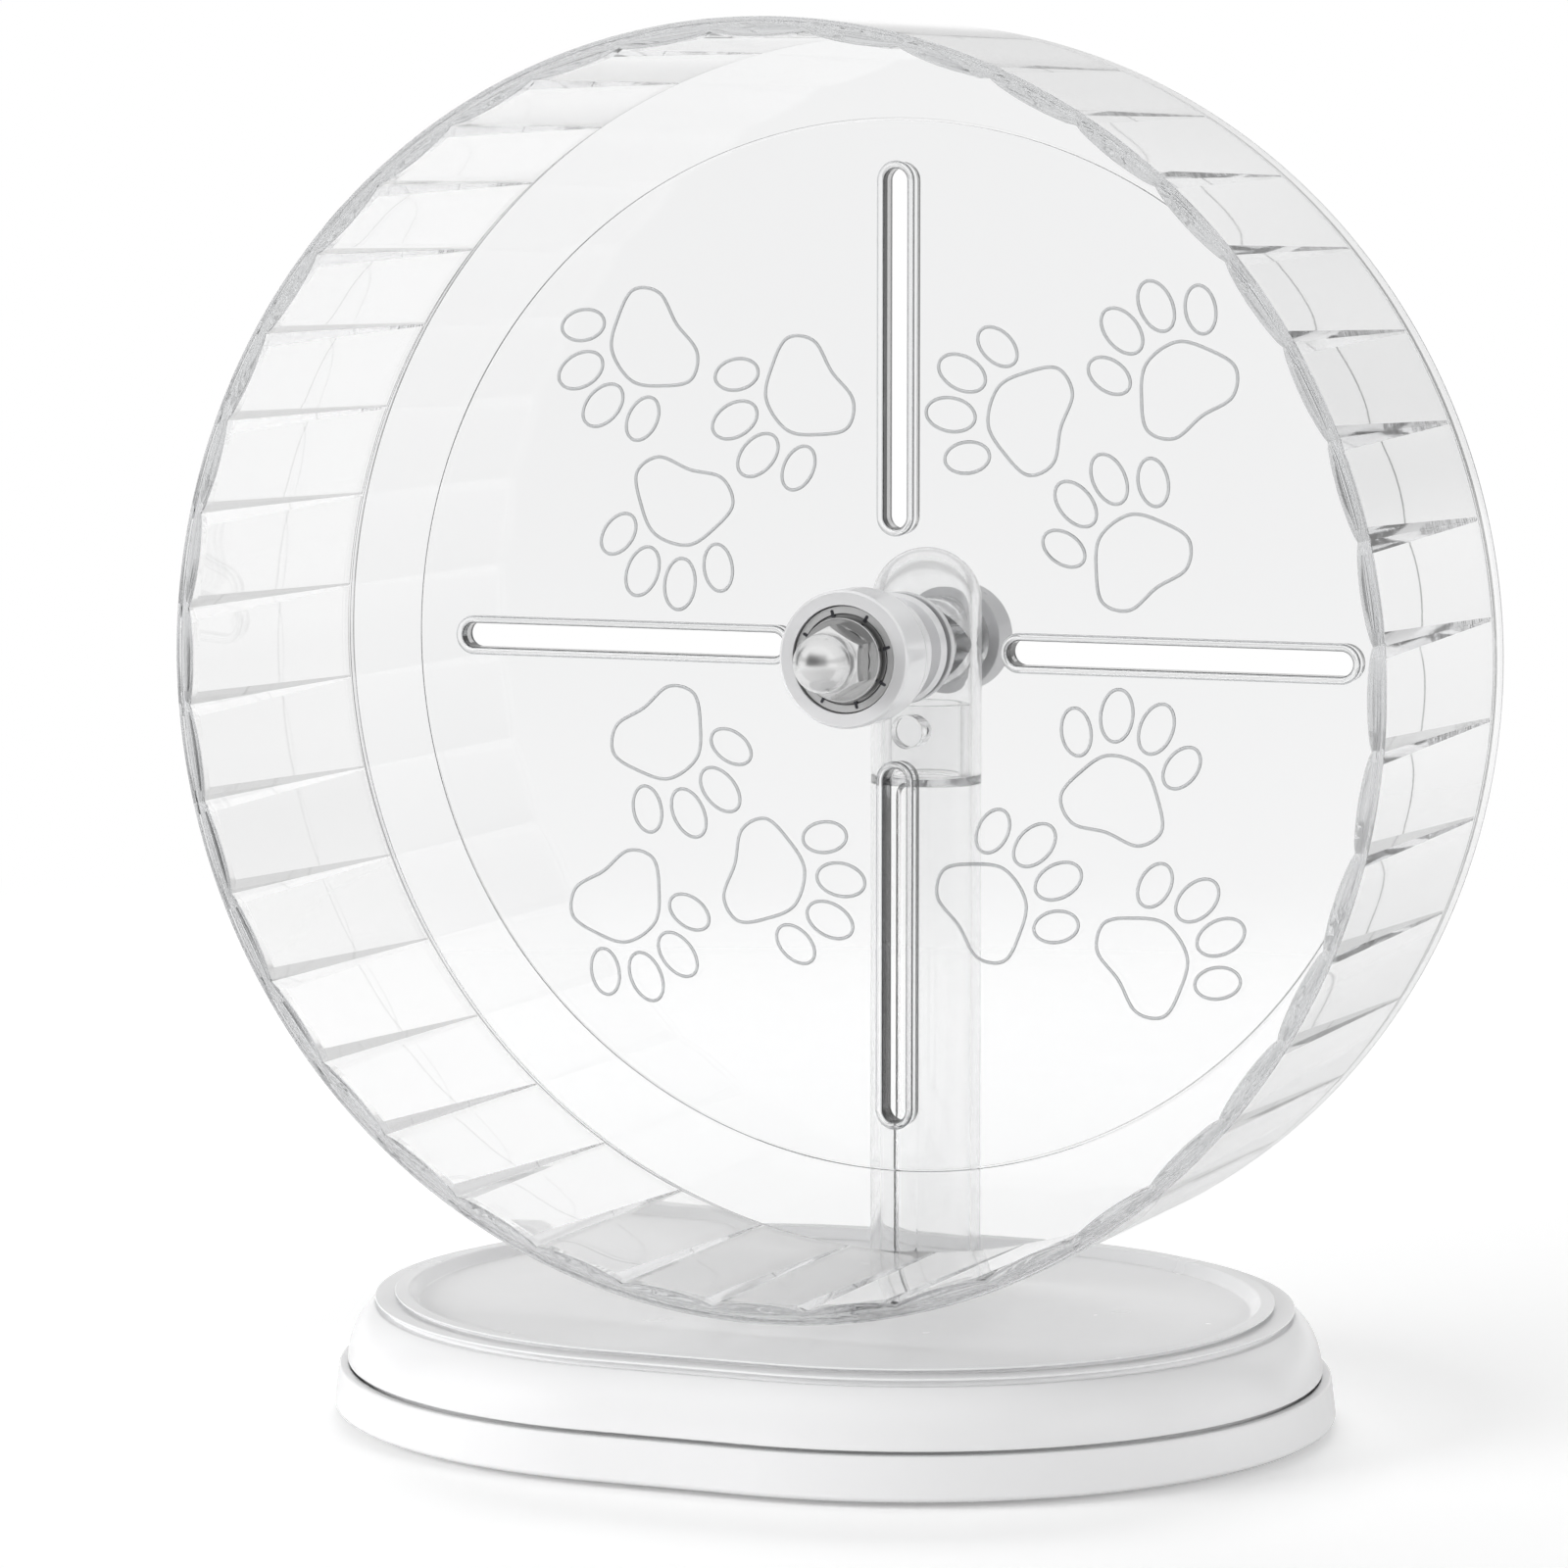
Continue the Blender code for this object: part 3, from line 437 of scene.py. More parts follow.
def clear_finish(name, density, shadow, bump, tint=1.0, haze=0.0):
    """Clear acrylic.

    Density is how much light it takes per metre of path, shadow the share of lamp light that each face
    lets through, tint the share of sight that a wall lets through, and haze what it scatters.
    """
    made, tree, shader = new_material(name)
    set_inputs(shader, {"Base Color": grey(tint), "Roughness": ACRYLIC_ROUGHNESS, "IOR": ACRYLIC_IOR,
                        "Transmission Weight": 1.0 - haze})
    output = tree.nodes["Material Output"]
    inside = add_node(tree, "ShaderNodeVolumeAbsorption", {"Color": ACRYLIC_HUE, "Density": density})
    tree.links.new(inside.outputs["Volume"], output.inputs["Volume"])
    bumpy(tree, shader, bump, RIPPLE_DEPTH, noise(tree, RIPPLE_SCALE, 1.0))
    path = add_node(tree, "ShaderNodeLightPath")
    through = add_node(tree, "ShaderNodeBsdfTransparent", {"Color": grey(shadow)})
    surface = mixed_shaders(tree, path.outputs["Is Shadow Ray"], shader.outputs["BSDF"],
                            through.outputs["BSDF"])
    tree.links.new(surface, output.inputs["Surface"])
    return made


clear_drum = clear_finish("clear_drum", density=3.5, shadow=0.96, bump=0.02, tint=0.95)
clear_disc = clear_finish("clear_disc", density=24.0, shadow=0.97, bump=0.01)
clear_column = clear_finish("clear_column", density=7.0, shadow=0.97, bump=0.01, haze=0.03)
# The slots' inner walls: acrylic tinted dark grey, as painted shade where the slots look dark.
slot_wall_painted_shade = clear_finish("slot_wall_painted_shade", density=24.0, shadow=0.97, bump=0.05, tint=0.42)
# Acrylic darkened inside so that thin beads read as grey lines: painted shade along them.
painted_shade_line = clear_finish("painted_shade_line", density=700.0, shadow=0.97, bump=0.0)
gloss_white = plain_finish("gloss_white", (0.865, 0.865, 0.87), (0.86, 0.86, 0.865),
                           roughness=0.26, spread=0.02, bump=0.02,
                           **{"Coat Weight": 0.2, "Coat Roughness": 0.18})
pearl_white = plain_finish("pearl_white", (0.84, 0.84, 0.85), (0.81, 0.81, 0.82),
                           roughness=0.18, spread=0.04, bump=0.01, Metallic=0.45)
cap_grey = plain_finish("cap_grey", (0.62, 0.62, 0.63), (0.59, 0.59, 0.60),
                        roughness=0.30, spread=0.05, bump=0.03)
cage_black = plain_finish("cage_black", (0.10, 0.10, 0.11), (0.07, 0.07, 0.08),
                          roughness=0.50, spread=0.08, bump=0.05)
ground_steel = plain_finish("ground_steel", (0.64, 0.64, 0.64), (0.58, 0.58, 0.58),
                            roughness=0.24, spread=0.06, bump=0.03, Metallic=1.0)
ring_steel = plain_finish("ring_steel", (0.60, 0.60, 0.60), (0.56, 0.56, 0.56),
                          roughness=0.30, spread=0.05, bump=0.03, Metallic=0.5)
shield_grey = plain_finish("shield_grey", (0.42, 0.42, 0.42), (0.38, 0.38, 0.38),
                           roughness=0.35, spread=0.06, bump=0.03, Metallic=0.8)
dark_steel = plain_finish("dark_steel", (0.10, 0.10, 0.11), (0.07, 0.07, 0.08),
                          roughness=0.35, spread=0.06, bump=0.03, Metallic=1.0)
chrome = plain_finish("chrome", (0.82, 0.82, 0.82), (0.78, 0.78, 0.78),
                      roughness=0.21, spread=0.02, bump=0.0, Metallic=1.0)
black_rubber = plain_finish("black_rubber", (0.06, 0.06, 0.06), (0.04, 0.04, 0.04),
                            roughness=0.80, spread=0.08, bump=0.20)


# Wheel

def groove_distance(column, groove):
    """How far a column of facets stands from its groove, in pitches, with one column on its edge."""
    if column < NOTCH_COLUMN:
        return groove * column / NOTCH_COLUMN
    return groove + (column - NOTCH_COLUMN) / (0.5 - NOTCH_COLUMN) * (0.5 - groove)


def scalloped(x, y, forward):
    """Places a point of a plain drum on the scalloped one, whose grooves taper to the back."""
    pitch = 2 * math.pi / SCALLOP_COUNT
    radius = math.hypot(x, y)
    angle = math.atan2(y, x)
    share = max(0.0, (forward - DISC_FRONT) / (DRUM_FRONT - DISC_FRONT))
    inward = min(1.0, max(0.0, (DRUM_RADIUS - DRUM_SKIN - radius) / SKIN_FADE))
    across = (angle / pitch + 0.5) % 1.0
    column = min(across, 1.0 - across)
    groove = NOTCH_BACK + (NOTCH_FRONT - NOTCH_BACK) * share
    away = groove_distance(column, groove)
    shift = (away - column) * (1.0 if across < 0.5 else -1.0)
    if forward > DRUM_FRONT - 3 * RIM_LIP:
        arch = math.sin(math.pi * away) ** RIM_ARCH
    else:
        arch = min(1.0, away / groove) * math.sin(math.pi * max(groove, away)) ** WALL_ARCH
    turn = angle + shift * pitch * inward
    reach = radius - SCALLOP_DEPTH * share * inward * arch
    return on_axle(reach * math.cos(turn), reach * math.sin(turn), forward)


def drum():
    bead_foot = DRUM_RADIUS - RIM_BEAD
    profile = [
        (DRUM_RADIUS, DRUM_BACK), (DRUM_SEAT, DRUM_BACK), (DRUM_SEAT, DISC_FRONT + GAP),
        (DRUM_INNER, DISC_FRONT + GAP), (DRUM_INNER, DRUM_FRONT - 4 * RIM_LIP),
        (DRUM_INNER, DRUM_FRONT), (bead_foot - RIM_LIP, DRUM_FRONT),
        (bead_foot, DRUM_FRONT - RIM_LIP), (bead_foot + RIM_LIP / 3, DRUM_FRONT),
        (DRUM_RADIUS, DRUM_FRONT),
    ]
    made = turned("drum_shell", eased(profile, 0.0004, 6), scalloped,
                  SCALLOP_COUNT * SCALLOP_FACETS, sharp=SCALLOP_SHARP)
    dress(made, "wheel", "clear_plastic", clear_drum, "running_drum")


def in_slot(quarter):
    """Places points given along and across a slot, from its middle."""
    turn = quarter * math.pi / 2
    return lambda x, y, forward: turned_round(turn, x + SLOT_MIDDLE, y, forward)


def round_slot(quarter):
    """Places a turned ring with its round plan pulled apart along a slot."""
    place = in_slot(quarter)
    return lambda x, y, forward: place(x + math.copysign(SLOT_HALF, x), y, forward)


def slot_distance(point):
    """How far a point of the disc lies from the middle line of the nearest slot."""
    across, along = sorted((abs(point.x), abs(point.z - AXLE_HEIGHT)))
    past_end = max(0.0, abs(along - SLOT_MIDDLE) - SLOT_HALF)
    return math.hypot(across, past_end)


def collar_profile(back, front):
    """Section of the wall round a slot, with a rounded front edge."""
    rise = 0.0009
    steps = 16
    half_wall = COLLAR_WALL / 2
    section = [(SLOT_REACH, back)]
    for step in range(steps + 1):
        angle = math.pi * step / steps
        section.append((SLOT_REACH + half_wall - half_wall * math.cos(angle),
                        front - rise + rise * math.sin(angle)))
    section.append((SLOT_REACH + COLLAR_WALL, back))
    return section


def disc():
    """The clear panel, with a fine line at its step, four slots, and walls inside them tinted darker as
    painted shade.
    """
    hole = NECK_RADIUS + GAP
    line = DISC_STEP_RADIUS - DISC_STEP
    step_front = DISC_FRONT - DISC_STEP
    line_floor = step_front - 0.0005
    profile = [
        (line, DISC_FRONT), (line, line_floor), (DISC_STEP_RADIUS, line_floor),
        (DISC_STEP_RADIUS, step_front), (DISC_RADIUS, step_front), (DISC_RADIUS, DISC_BACK),
        (hole, DISC_BACK), (hole, DISC_FRONT),
    ]
    made = turned("clear_disc", eased(profile, 0.0002, 3), segments=DISC_ROUND)
    back = DISC_BACK - COLLAR_BACK
    front = DISC_FRONT + COLLAR_FRONT
    slot = stadium(SLOT_HALF, SLOT_REACH + COLLAR_WALL / 2)
    cuts = [solid("slot", *loft([(slot, back), (slot, front)], in_slot(i))) for i in range(4)]
    carve(made, cuts, "DIFFERENCE")
    collar = collar_profile(back, front)
    rings = [turned("collar", collar, round_slot(i), SLOT_ROUND) for i in range(4)]
    carve(made, rings, "UNION", COLLAR_SHARP)
    dress(made, "wheel", "clear_plastic", clear_disc, "back_disc")
    # The slots' wall faces take the second, darker finish: painted shade.
    made.data.materials.append(slot_wall_painted_shade)
    for face in made.data.polygons:
        if slot_distance(face.center) < SLOT_REACH + TINY:
            face.material_index = 1


def smooth_loop(corners, per_corner):
    """Points of a closed curve through the corners."""
    points = []
    count = len(corners)
    for i in range(count):
        a, b, c, d = (Vector(corners[(i + k) % count]) for k in (-1, 0, 1, 2))
        for step in range(per_corner):
            t = step / per_corner
            points.append(0.5 * (2 * b + (c - a) * t + (2 * a - 5 * b + 4 * c - d) * t * t
                                 + (3 * b - a - 3 * c + d) * t ** 3))
    return points


def bead(path, radius, place, sides=8):
    """A closed round bead along a flat loop of points."""
    verts, faces = [], []
    count = len(path)
    for i, point in enumerate(path):
        ahead = path[(i + 1) % count] - path[i - 1]
        out = Vector((ahead.y, -ahead.x)).normalized()
        for side in range(sides):
            angle = 2 * math.pi * side / sides
            across = point + out * (radius * math.cos(angle))
            verts.append(place(across.x, across.y, radius * math.sin(angle)))
    for i in range(count):
        j = (i + 1) % count
        for side in range(sides):
            beside = (side + 1) % sides
            faces.append((i * sides + side, j * sides + side, j * sides + beside, i * sides + beside))
    return verts, faces


# Paw prints: size and line in metres; then, in units of the size, the pad's outline and each toe's
# centre, half axes and lean in degrees; then, for a quarter of the disc, each print's place round the
# hub in degrees, distance from the axle in metres and lean in degrees
PRINT_SIZE = 0.025
PRINT_LINE = 0.00035
PAD = [(0.0, -0.50), (0.30, -0.52), (0.46, -0.34), (0.36, -0.10), (0.16, 0.12), (-0.16, 0.12),
       (-0.36, -0.10), (-0.46, -0.34), (-0.30, -0.52)]
TOES = [(-0.48, 0.22, 0.13, 0.20, 24), (-0.18, 0.46, 0.14, 0.22, 8), (0.18, 0.46, 0.14, 0.22, -8),
        (0.48, 0.22, 0.13, 0.20, -24)]
PRINTS = [(26, 0.056, 10), (45, 0.085, -10), (64, 0.056, 10)]


def paw_loops():
    """Outlines of a pad and four toes."""
    steps = 32
    loops = [smooth_loop(PAD, 8)]
    for x, y, wide, tall, lean in TOES:
        tilt = math.radians(lean)
        loop = []
        for step in range(steps):
            angle = 2 * math.pi * step / steps
            a, b = wide * math.cos(angle), tall * math.sin(angle)
            loop.append(Vector((x + a * math.cos(tilt) - b * math.sin(tilt),
                                y + a * math.sin(tilt) + b * math.cos(tilt))))
        loops.append(loop)
    return loops


def on_print(degrees, reach, lean):
    """Places points of a paw print on the disc, with its toes ahead on the way round the hub."""
    angle = math.radians(degrees)
    heading = angle + math.radians(lean)

    def place(x, y, proud):
        side = x * PRINT_SIZE
        ahead = y * PRINT_SIZE
        across = reach * math.cos(angle) + side * math.cos(heading) - ahead * math.sin(heading)
        up = reach * math.sin(angle) + side * math.sin(heading) + ahead * math.cos(heading)
        return on_axle(across, up, DISC_FRONT + proud * PRINT_SIZE)

    return place


def tracks():
    """Paw prints that walk round the hub: their raised lines are real, and the darkened finish on them
    paints their shade.
    """
    shapes = []
    for quarter in range(4):
        for degrees, reach, lean in PRINTS:
            place = on_print(quarter * 90 + degrees, reach, lean)
            shapes += [bead(loop, PRINT_LINE / PRINT_SIZE, place) for loop in paw_loops()]
    dress(joined("paw_tracks", shapes, BEAD_SHARP), "wheel", "clear_plastic", painted_shade_line)


def slot_edge_painted_shade():
    """A fine dark bead along each edge of the slots' collars: painted shade where these edges look dark.
    """
    line = 0.00025
    level = DISC_FRONT + 0.0002
    shapes = []
    for quarter in range(4):
        in_quarter = in_slot(quarter)

        def place(x, y, proud, in_quarter=in_quarter):
            return in_quarter(x, y, level + proud)

        for reach in (SLOT_REACH + 0.0001, SLOT_REACH + COLLAR_WALL):
            loop = [Vector(point) for point in stadium(SLOT_HALF, reach)]
            shapes.append(bead(loop, line, place))
    dress(joined("slot_edge_painted_shade", shapes, BEAD_SHARP), "wheel", "clear_plastic", painted_shade_line)


def hub():
    """The bearing housing, with a fine line round its back end, and the ring that clamps the disc."""
    flange_back = DISC_FRONT + GAP
    flange_front = flange_back + FLANGE_THICKNESS
    flange_taper = 0.0006
    chamfer = 0.0005
    housing_back = HUB_FRONT - HUB_HOUSING
    line_floor = HUB_RADIUS - 0.0005
    back_edge = HUB_RADIUS - 0.0002
    profile = [
        (HUB_RADIUS - chamfer, HUB_FRONT), (HUB_RADIUS, HUB_FRONT - chamfer),
        (HUB_RADIUS, housing_back + 0.0015), (line_floor, housing_back + 0.0012),
        (line_floor, housing_back + 0.0007), (back_edge, housing_back + 0.0006),
        (back_edge, housing_back), (BARREL_RADIUS, housing_back), (BARREL_RADIUS, BARREL_BACK),
        (NECK_RADIUS, BARREL_BACK), (NECK_RADIUS, flange_front),
        (FLANGE_RADIUS - flange_taper, flange_front), (FLANGE_RADIUS, flange_back),
        (NECK_RADIUS, flange_back), (NECK_RADIUS, CLAMP_BACK), (NECK_BORE, CLAMP_BACK),
        (NECK_BORE, BEARING_SEAT), (SEAT_RADIUS, BEARING_SEAT), (SEAT_RADIUS, HUB_FRONT),
    ]
    made = turned("hub_body", eased(profile, 0.00012, 3))
    dress(made, "wheel", "white_plastic", pearl_white, "hub_sleeve")
    clamp = ring_profile(NECK_RADIUS + GAP, FLANGE_RADIUS, CLAMP_BACK, CLAMP_FRONT)
    made = turned("hub_back_ring", eased(clamp, 0.0003))
    dress(made, "wheel", "white_plastic", pearl_white, "hub_clamp_ring")


def bearing():
    """The faces of the front bearing that show: its outer ring and its shield."""
    land = 0.00895
    step = BEARING_HALF - 0.0009
    section = [
        (BEARING_RADIUS, BEARING_HALF), (BEARING_RADIUS, -BEARING_HALF), (BEARING_LIP, -BEARING_HALF),
        (BEARING_LIP, -step), (land, -step), (land, step), (BEARING_LIP, step),
        (BEARING_LIP, BEARING_HALF),
    ]
    profile = [(radius, FRONT_BEARING + forward) for radius, forward in section]
    made = turned("bearing_ring_face", eased(profile, 0.0002))
    dress(made, "wheel", "bearing_steel", ring_steel, "front_bearing_outer_ring")
    shield = ring_profile(SHIELD_INNER, SHIELD_OUTER, FRONT_BEARING + SHIELD_BACK,
                          FRONT_BEARING + SHIELD_FRONT)
    made = turned("bearing_shield_face", eased(shield, 0.0001))
    dress(made, "wheel", "dark_steel", shield_grey, "front_bearing_shield")


def crimps():
    """Small tabs of the front shield, bent over the edge of the outer ring."""
    count = 8
    first_turn = 0.35
    root = SHIELD_OUTER - 0.0003
    face = FRONT_BEARING + BEARING_HALF
    low = face - 0.0006
    high = face + 0.00012
    outline = [(root, -0.00035), (0.0103, -0.00030), (0.0105, 0.0), (0.0103, 0.00030), (root, 0.00035)]
    shapes = []
    for number in range(count):
        turn = 2 * math.pi * (number + first_turn) / count

        def place(x, y, forward, turn=turn):
            return turned_round(turn, x, y, forward)

        shapes.append(loft([(outline, low), (outline, high)], place))
    dress(joined("shield_crimps", shapes), "wheel", "dark_steel", dark_steel)


# Axle pieces

def hex_radius(angle):
    sector = math.pi / 3
    return HEX_FLATS / 2 / math.cos((angle + sector / 2) % sector - sector / 2)


def in_hexagon(x, y, height):
    """Places a turned point on the nut's seat, cut back to the hexagon."""
    angle = math.atan2(y, x)
    radius = min(math.hypot(x, y), hex_radius(angle))
    return on_axle(radius * math.cos(angle), radius * math.sin(angle), NUT_SEAT + height)


def nut():
    """A cap nut: a hexagon whose corners are turned off under a dome."""
    corner = 0.00752
    seat_radius = 0.0065
    seat_chamfer = 0.0004
    turned_off = 0.00115
    turned_height = 0.0011
    turned_curve = 1.6
    turned_steps = 8
    dome_steps = 20
    shoulder = NUT_HEX - turned_height
    rows = [(0.0, 0.0), (seat_radius, 0.0), (corner, seat_chamfer), (corner, shoulder)]
    for i in range(1, turned_steps + 1):
        rows.append((corner - turned_off * (i / turned_steps) ** turned_curve,
                     shoulder + turned_height * i / turned_steps))
    rows += [(NUT_DOME + 0.00012, NUT_HEX + 0.00005), (NUT_DOME, NUT_HEX + 0.0002)]
    crown = NUT_HEIGHT - NUT_DOME
    for i in range(dome_steps + 1):
        angle = math.pi / 2 * i / dome_steps
        rows.append((NUT_DOME * math.cos(angle), crown + NUT_DOME * math.sin(angle)))
    made = turned("cap_nut", rows, in_hexagon, NUT_ROUND, closed=False, sharp=NUT_SHARP)
    dress(made, "stand", "chrome", chrome, "acorn_nut")


def washer():
    step = WASHER_BACK - 0.0005
    profile = [
        (WASHER_RADIUS, WASHER_FRONT), (WASHER_RADIUS, WASHER_BACK), (SPACER_RADIUS, WASHER_BACK),
        (SPACER_RADIUS, step), (SLIP_RADIUS, step), (SLIP_RADIUS, WASHER_FRONT),
    ]
    made = turned("front_washer_face", eased(profile, 0.00035))
    dress(made, "stand", "bearing_steel", ground_steel, "front_washer")


def bolt():
    """The axle: a plain shank that ends inside a hexagon head."""
    tip = NUT_SEAT + 0.0105
    chamfer = 0.0003
    shank_back = BOLT_HEAD_FRONT - GAP
    shank = [
        (0, tip), (SHANK_RADIUS - chamfer, tip), (SHANK_RADIUS, NUT_SEAT + 0.0102),
        (SHANK_RADIUS, shank_back), (0, shank_back),
    ]
    made = turned("axle_shank", shank, segments=SMALL_ROUND, closed=False)
    turns = [math.pi / 6 + i * math.pi / 3 for i in range(6)]
    hexagon = [(hex_radius(a) * math.cos(a), hex_radius(a) * math.sin(a)) for a in turns]
    sections = [(hexagon, BOLT_HEAD_BACK), (hexagon, BOLT_HEAD_FRONT)]
    carve(made, [solid("bolt_head", *loft(sections, on_axle))], "UNION")
    dress(made, "stand", "bearing_steel", ground_steel, "axle_bolt")


def spacer():
    profile = ring_profile(SLIP_RADIUS, SPACER_RADIUS, BOSS_FRONT + GAP,
                           REAR_BEARING - BEARING_HALF - GAP)
    made = turned("axle_spacer_sleeve", eased(profile, 0.0002), segments=SMALL_ROUND)
    dress(made, "stand", "bearing_steel", ground_steel, "axle_spacer")


def cap():
    """The cap over the bolt's head, with a sunk round field on its back."""
    chamfer = 0.001
    field = CAP_BACK + 0.0004
    cavity = CAP_BACK + CAP_WALL
    profile = [
        (0, cavity), (CAP_CAVITY, cavity), (CAP_CAVITY, CAP_FRONT), (COLUMN_RADIUS, CAP_FRONT),
        (COLUMN_RADIUS, CAP_BACK + chamfer), (COLUMN_RADIUS - chamfer, CAP_BACK), (0.0088, CAP_BACK),
        (0.0084, field), (0, field),
    ]
    made = turned("bolt_cap", eased(profile, 0.0003, closed=False), closed=False)
    dress(made, "stand", "grey_plastic", cap_grey, "rear_cap")


# Column

def dome(radius, centre, steps=20):
    turn = math.pi / 2 / steps
    return [(radius * math.sin(turn * i), centre + radius * math.cos(turn * i))
            for i in range(steps + 1)]


def across_column(height):
    """Places a turned piece with its axis along the axle's direction, through the column."""
    return lambda x, y, forward: (x, COLUMN_Y - forward, height + y)


at_axle = across_column(AXLE_HEIGHT)
at_pin = across_column(PIN_HEIGHT)


def pin_hole():
    """A tool for the pin's hole, from near the column's axis out through its front."""
    start = 0.002
    return bar("pin_hole", PIN_RADIUS + HAIRLINE, start, COLUMN_RADIUS + OVERCUT, at_pin)


def column_head():
    """The domed top, with the boss for the axle across it."""
    centre = COLUMN_TOP - COLUMN_RADIUS
    foot = SEAM - GAP + HAIRLINE
    profile = dome(COLUMN_RADIUS, centre) + [(COLUMN_RADIUS, foot), (COLUMN_INNER, foot)]
    profile += reversed(dome(COLUMN_INNER, centre))
    made = turned("column_cap", profile, on_column, COLUMN_ROUND, closed=False)
    back = BOSS_BACK + COLUMN_Y
    front = BOSS_FRONT + COLUMN_Y
    carve(made, [bar("boss", BOSS_RADIUS, back, front, at_axle)], "UNION")
    bore = bar("bore", SLIP_RADIUS, back - OVERCUT, front + OVERCUT, at_axle)
    carve(made, [bore, pin_hole()], "DIFFERENCE")
    dress(made, "stand", "clear_plastic", clear_column, "column_head")


def column_post():
    """The tube, with a spigot that the head sits on and a shallow groove down its front."""
    shoulder = SEAM - GAP
    inner_slope = 0.002
    profile = [
        (0, POST_FLOOR_TOP), (COLUMN_INNER, POST_FLOOR_TOP), (COLUMN_INNER, shoulder - inner_slope),
        (SPIGOT_BORE, shoulder), (SPIGOT_BORE, SPIGOT_TOP), (SPIGOT_RADIUS, SPIGOT_TOP),
        (SPIGOT_RADIUS, shoulder), (COLUMN_RADIUS, shoulder), (COLUMN_RADIUS, POST_FOOT),
        (0, POST_FOOT),
    ]
    made = turned("column_tube", eased(profile, 0.0002, 3, closed=False), on_column, COLUMN_ROUND,
                  closed=False)
    half = (GROOVE_TOP - GROOVE_FOOT) / 2 - GROOVE_WIDTH / 2
    middle = (GROOVE_TOP + GROOVE_FOOT) / 2
    narrow = stadium(half, GROOVE_WIDTH / 2)
    wide = stadium(half, GROOVE_WIDTH / 2 + GROOVE_BEVEL)

    def in_front(x, y, out):
        return (y, COLUMN_Y - out, middle + x)

    sections = [(narrow, COLUMN_RADIUS - GROOVE_DEPTH), (wide, COLUMN_RADIUS),
                (wide, COLUMN_RADIUS + OVERCUT)]
    carve(made, [solid("groove", *loft(sections, in_front)), pin_hole()], "DIFFERENCE")
    dress(made, "stand", "clear_plastic", clear_column, "column_post")


def pin():
    face = COLUMN_RADIUS - 0.0002
    back = SPIGOT_BORE - 0.001
    profile = [(0, face), (PIN_RADIUS, face), (PIN_RADIUS, back), (0, back)]
    made = turned("column_pin", eased(profile, 0.0004, closed=False), at_pin, SMALL_ROUND,
                  closed=False)
    dress(made, "stand", "clear_plastic", clear_column, "lock_pin")


# Base

# Insets of the cover's points from the base's outline
SEAM_INSET = 0.0028
TRAY_INSET = 0.0174
LIP_INNER = 0.0156
LIP_OUTER = 0.0126
RIM_OUTER = 0.0085
SHOULDER_SWEEP = math.radians(65)
SHOULDER_STEPS = 16

# Places of the screws and feet: inset from the outline and angle round the base's ends in degrees
SCREW_INSET = 0.033
SCREW_ANGLE = 65
COLUMN_SCREW = 0.005
FOOT_INSET = 0.020
FOOT_ANGLE = 38
COUNTERBORE_RADIUS = 0.0037
COUNTERBORE_TOP = 0.0033
FOOT_SEAT_TOP = 0.0022
RECESS_ROUND = 48


def base_places(inset, angle):
    reach = BASE_RADIUS - inset
    x = BASE_STRAIGHT / 2 + reach * math.cos(math.radians(angle))
    y = reach * math.sin(math.radians(angle))
    return [(side * x, end * y) for side in (1, -1) for end in (1, -1)]


feet = base_places(FOOT_INSET, FOOT_ANGLE)
screws = base_places(SCREW_INSET, SCREW_ANGLE) + [(-COLUMN_SCREW, COLUMN_Y), (COLUMN_SCREW, COLUMN_Y)]


def cover():
    """The upper shell. Undercuts below its lip, its rim and its seam make their dark lines."""
    foot = SEAM_HEIGHT + 0.0005
    lip_foot = SEAM_HEIGHT - 0.0025
    under_tray = TRAY_TOP - COVER_SHELL
    outline = [
        (TRAY_INSET, TRAY_TOP), (LIP_INNER, LIP_TOP), (LIP_OUTER, LIP_TOP),
        (LIP_OUTER, LIP_TOP - 0.0004), (0.0141, LIP_TOP - 0.0005), (0.0141, RIM_TOP - 0.0001),
        (0.0127, RIM_TOP), (RIM_OUTER, RIM_TOP), (RIM_OUTER, RIM_TOP - 0.0005),
        (0.0102, RIM_TOP - 0.0006), (0.0102, foot + SHOULDER_RISE - 0.0002),
    ]
    width = SHOULDER_WIDTH / (1 - math.cos(SHOULDER_SWEEP))
    rise = SHOULDER_RISE / math.sin(SHOULDER_SWEEP)
    for step in range(SHOULDER_STEPS, -1, -1):
        angle = SHOULDER_SWEEP * step / SHOULDER_STEPS
        outline.append((SEAM_INSET + width * (1 - math.cos(angle)), foot + rise * math.sin(angle)))
    outline += [(0.0052, foot), (0.0052, lip_foot), (0.0070, lip_foot),
                (0.0109, RIM_TOP - COVER_SHELL), (LIP_INNER, under_tray)]
    profile = [(BASE_RADIUS - inset, height) for inset, height in outline]
    profile = eased([(0, TRAY_TOP)] + profile + [(0, under_tray)], 0.0004, 4, closed=False)
    made = turned("base_top", profile, on_base, BASE_ROUND, closed=False)
    hole_foot = 0.006
    hole_top = TRAY_TOP + 2 * OVERCUT
    hole = bar("column_hole", COLUMN_RADIUS + GAP, hole_foot, hole_top, on_column, COLUMN_ROUND)
    carve(made, [hole], "DIFFERENCE")
    dress(made, "stand", "white_plastic", gloss_white, "base_cover")


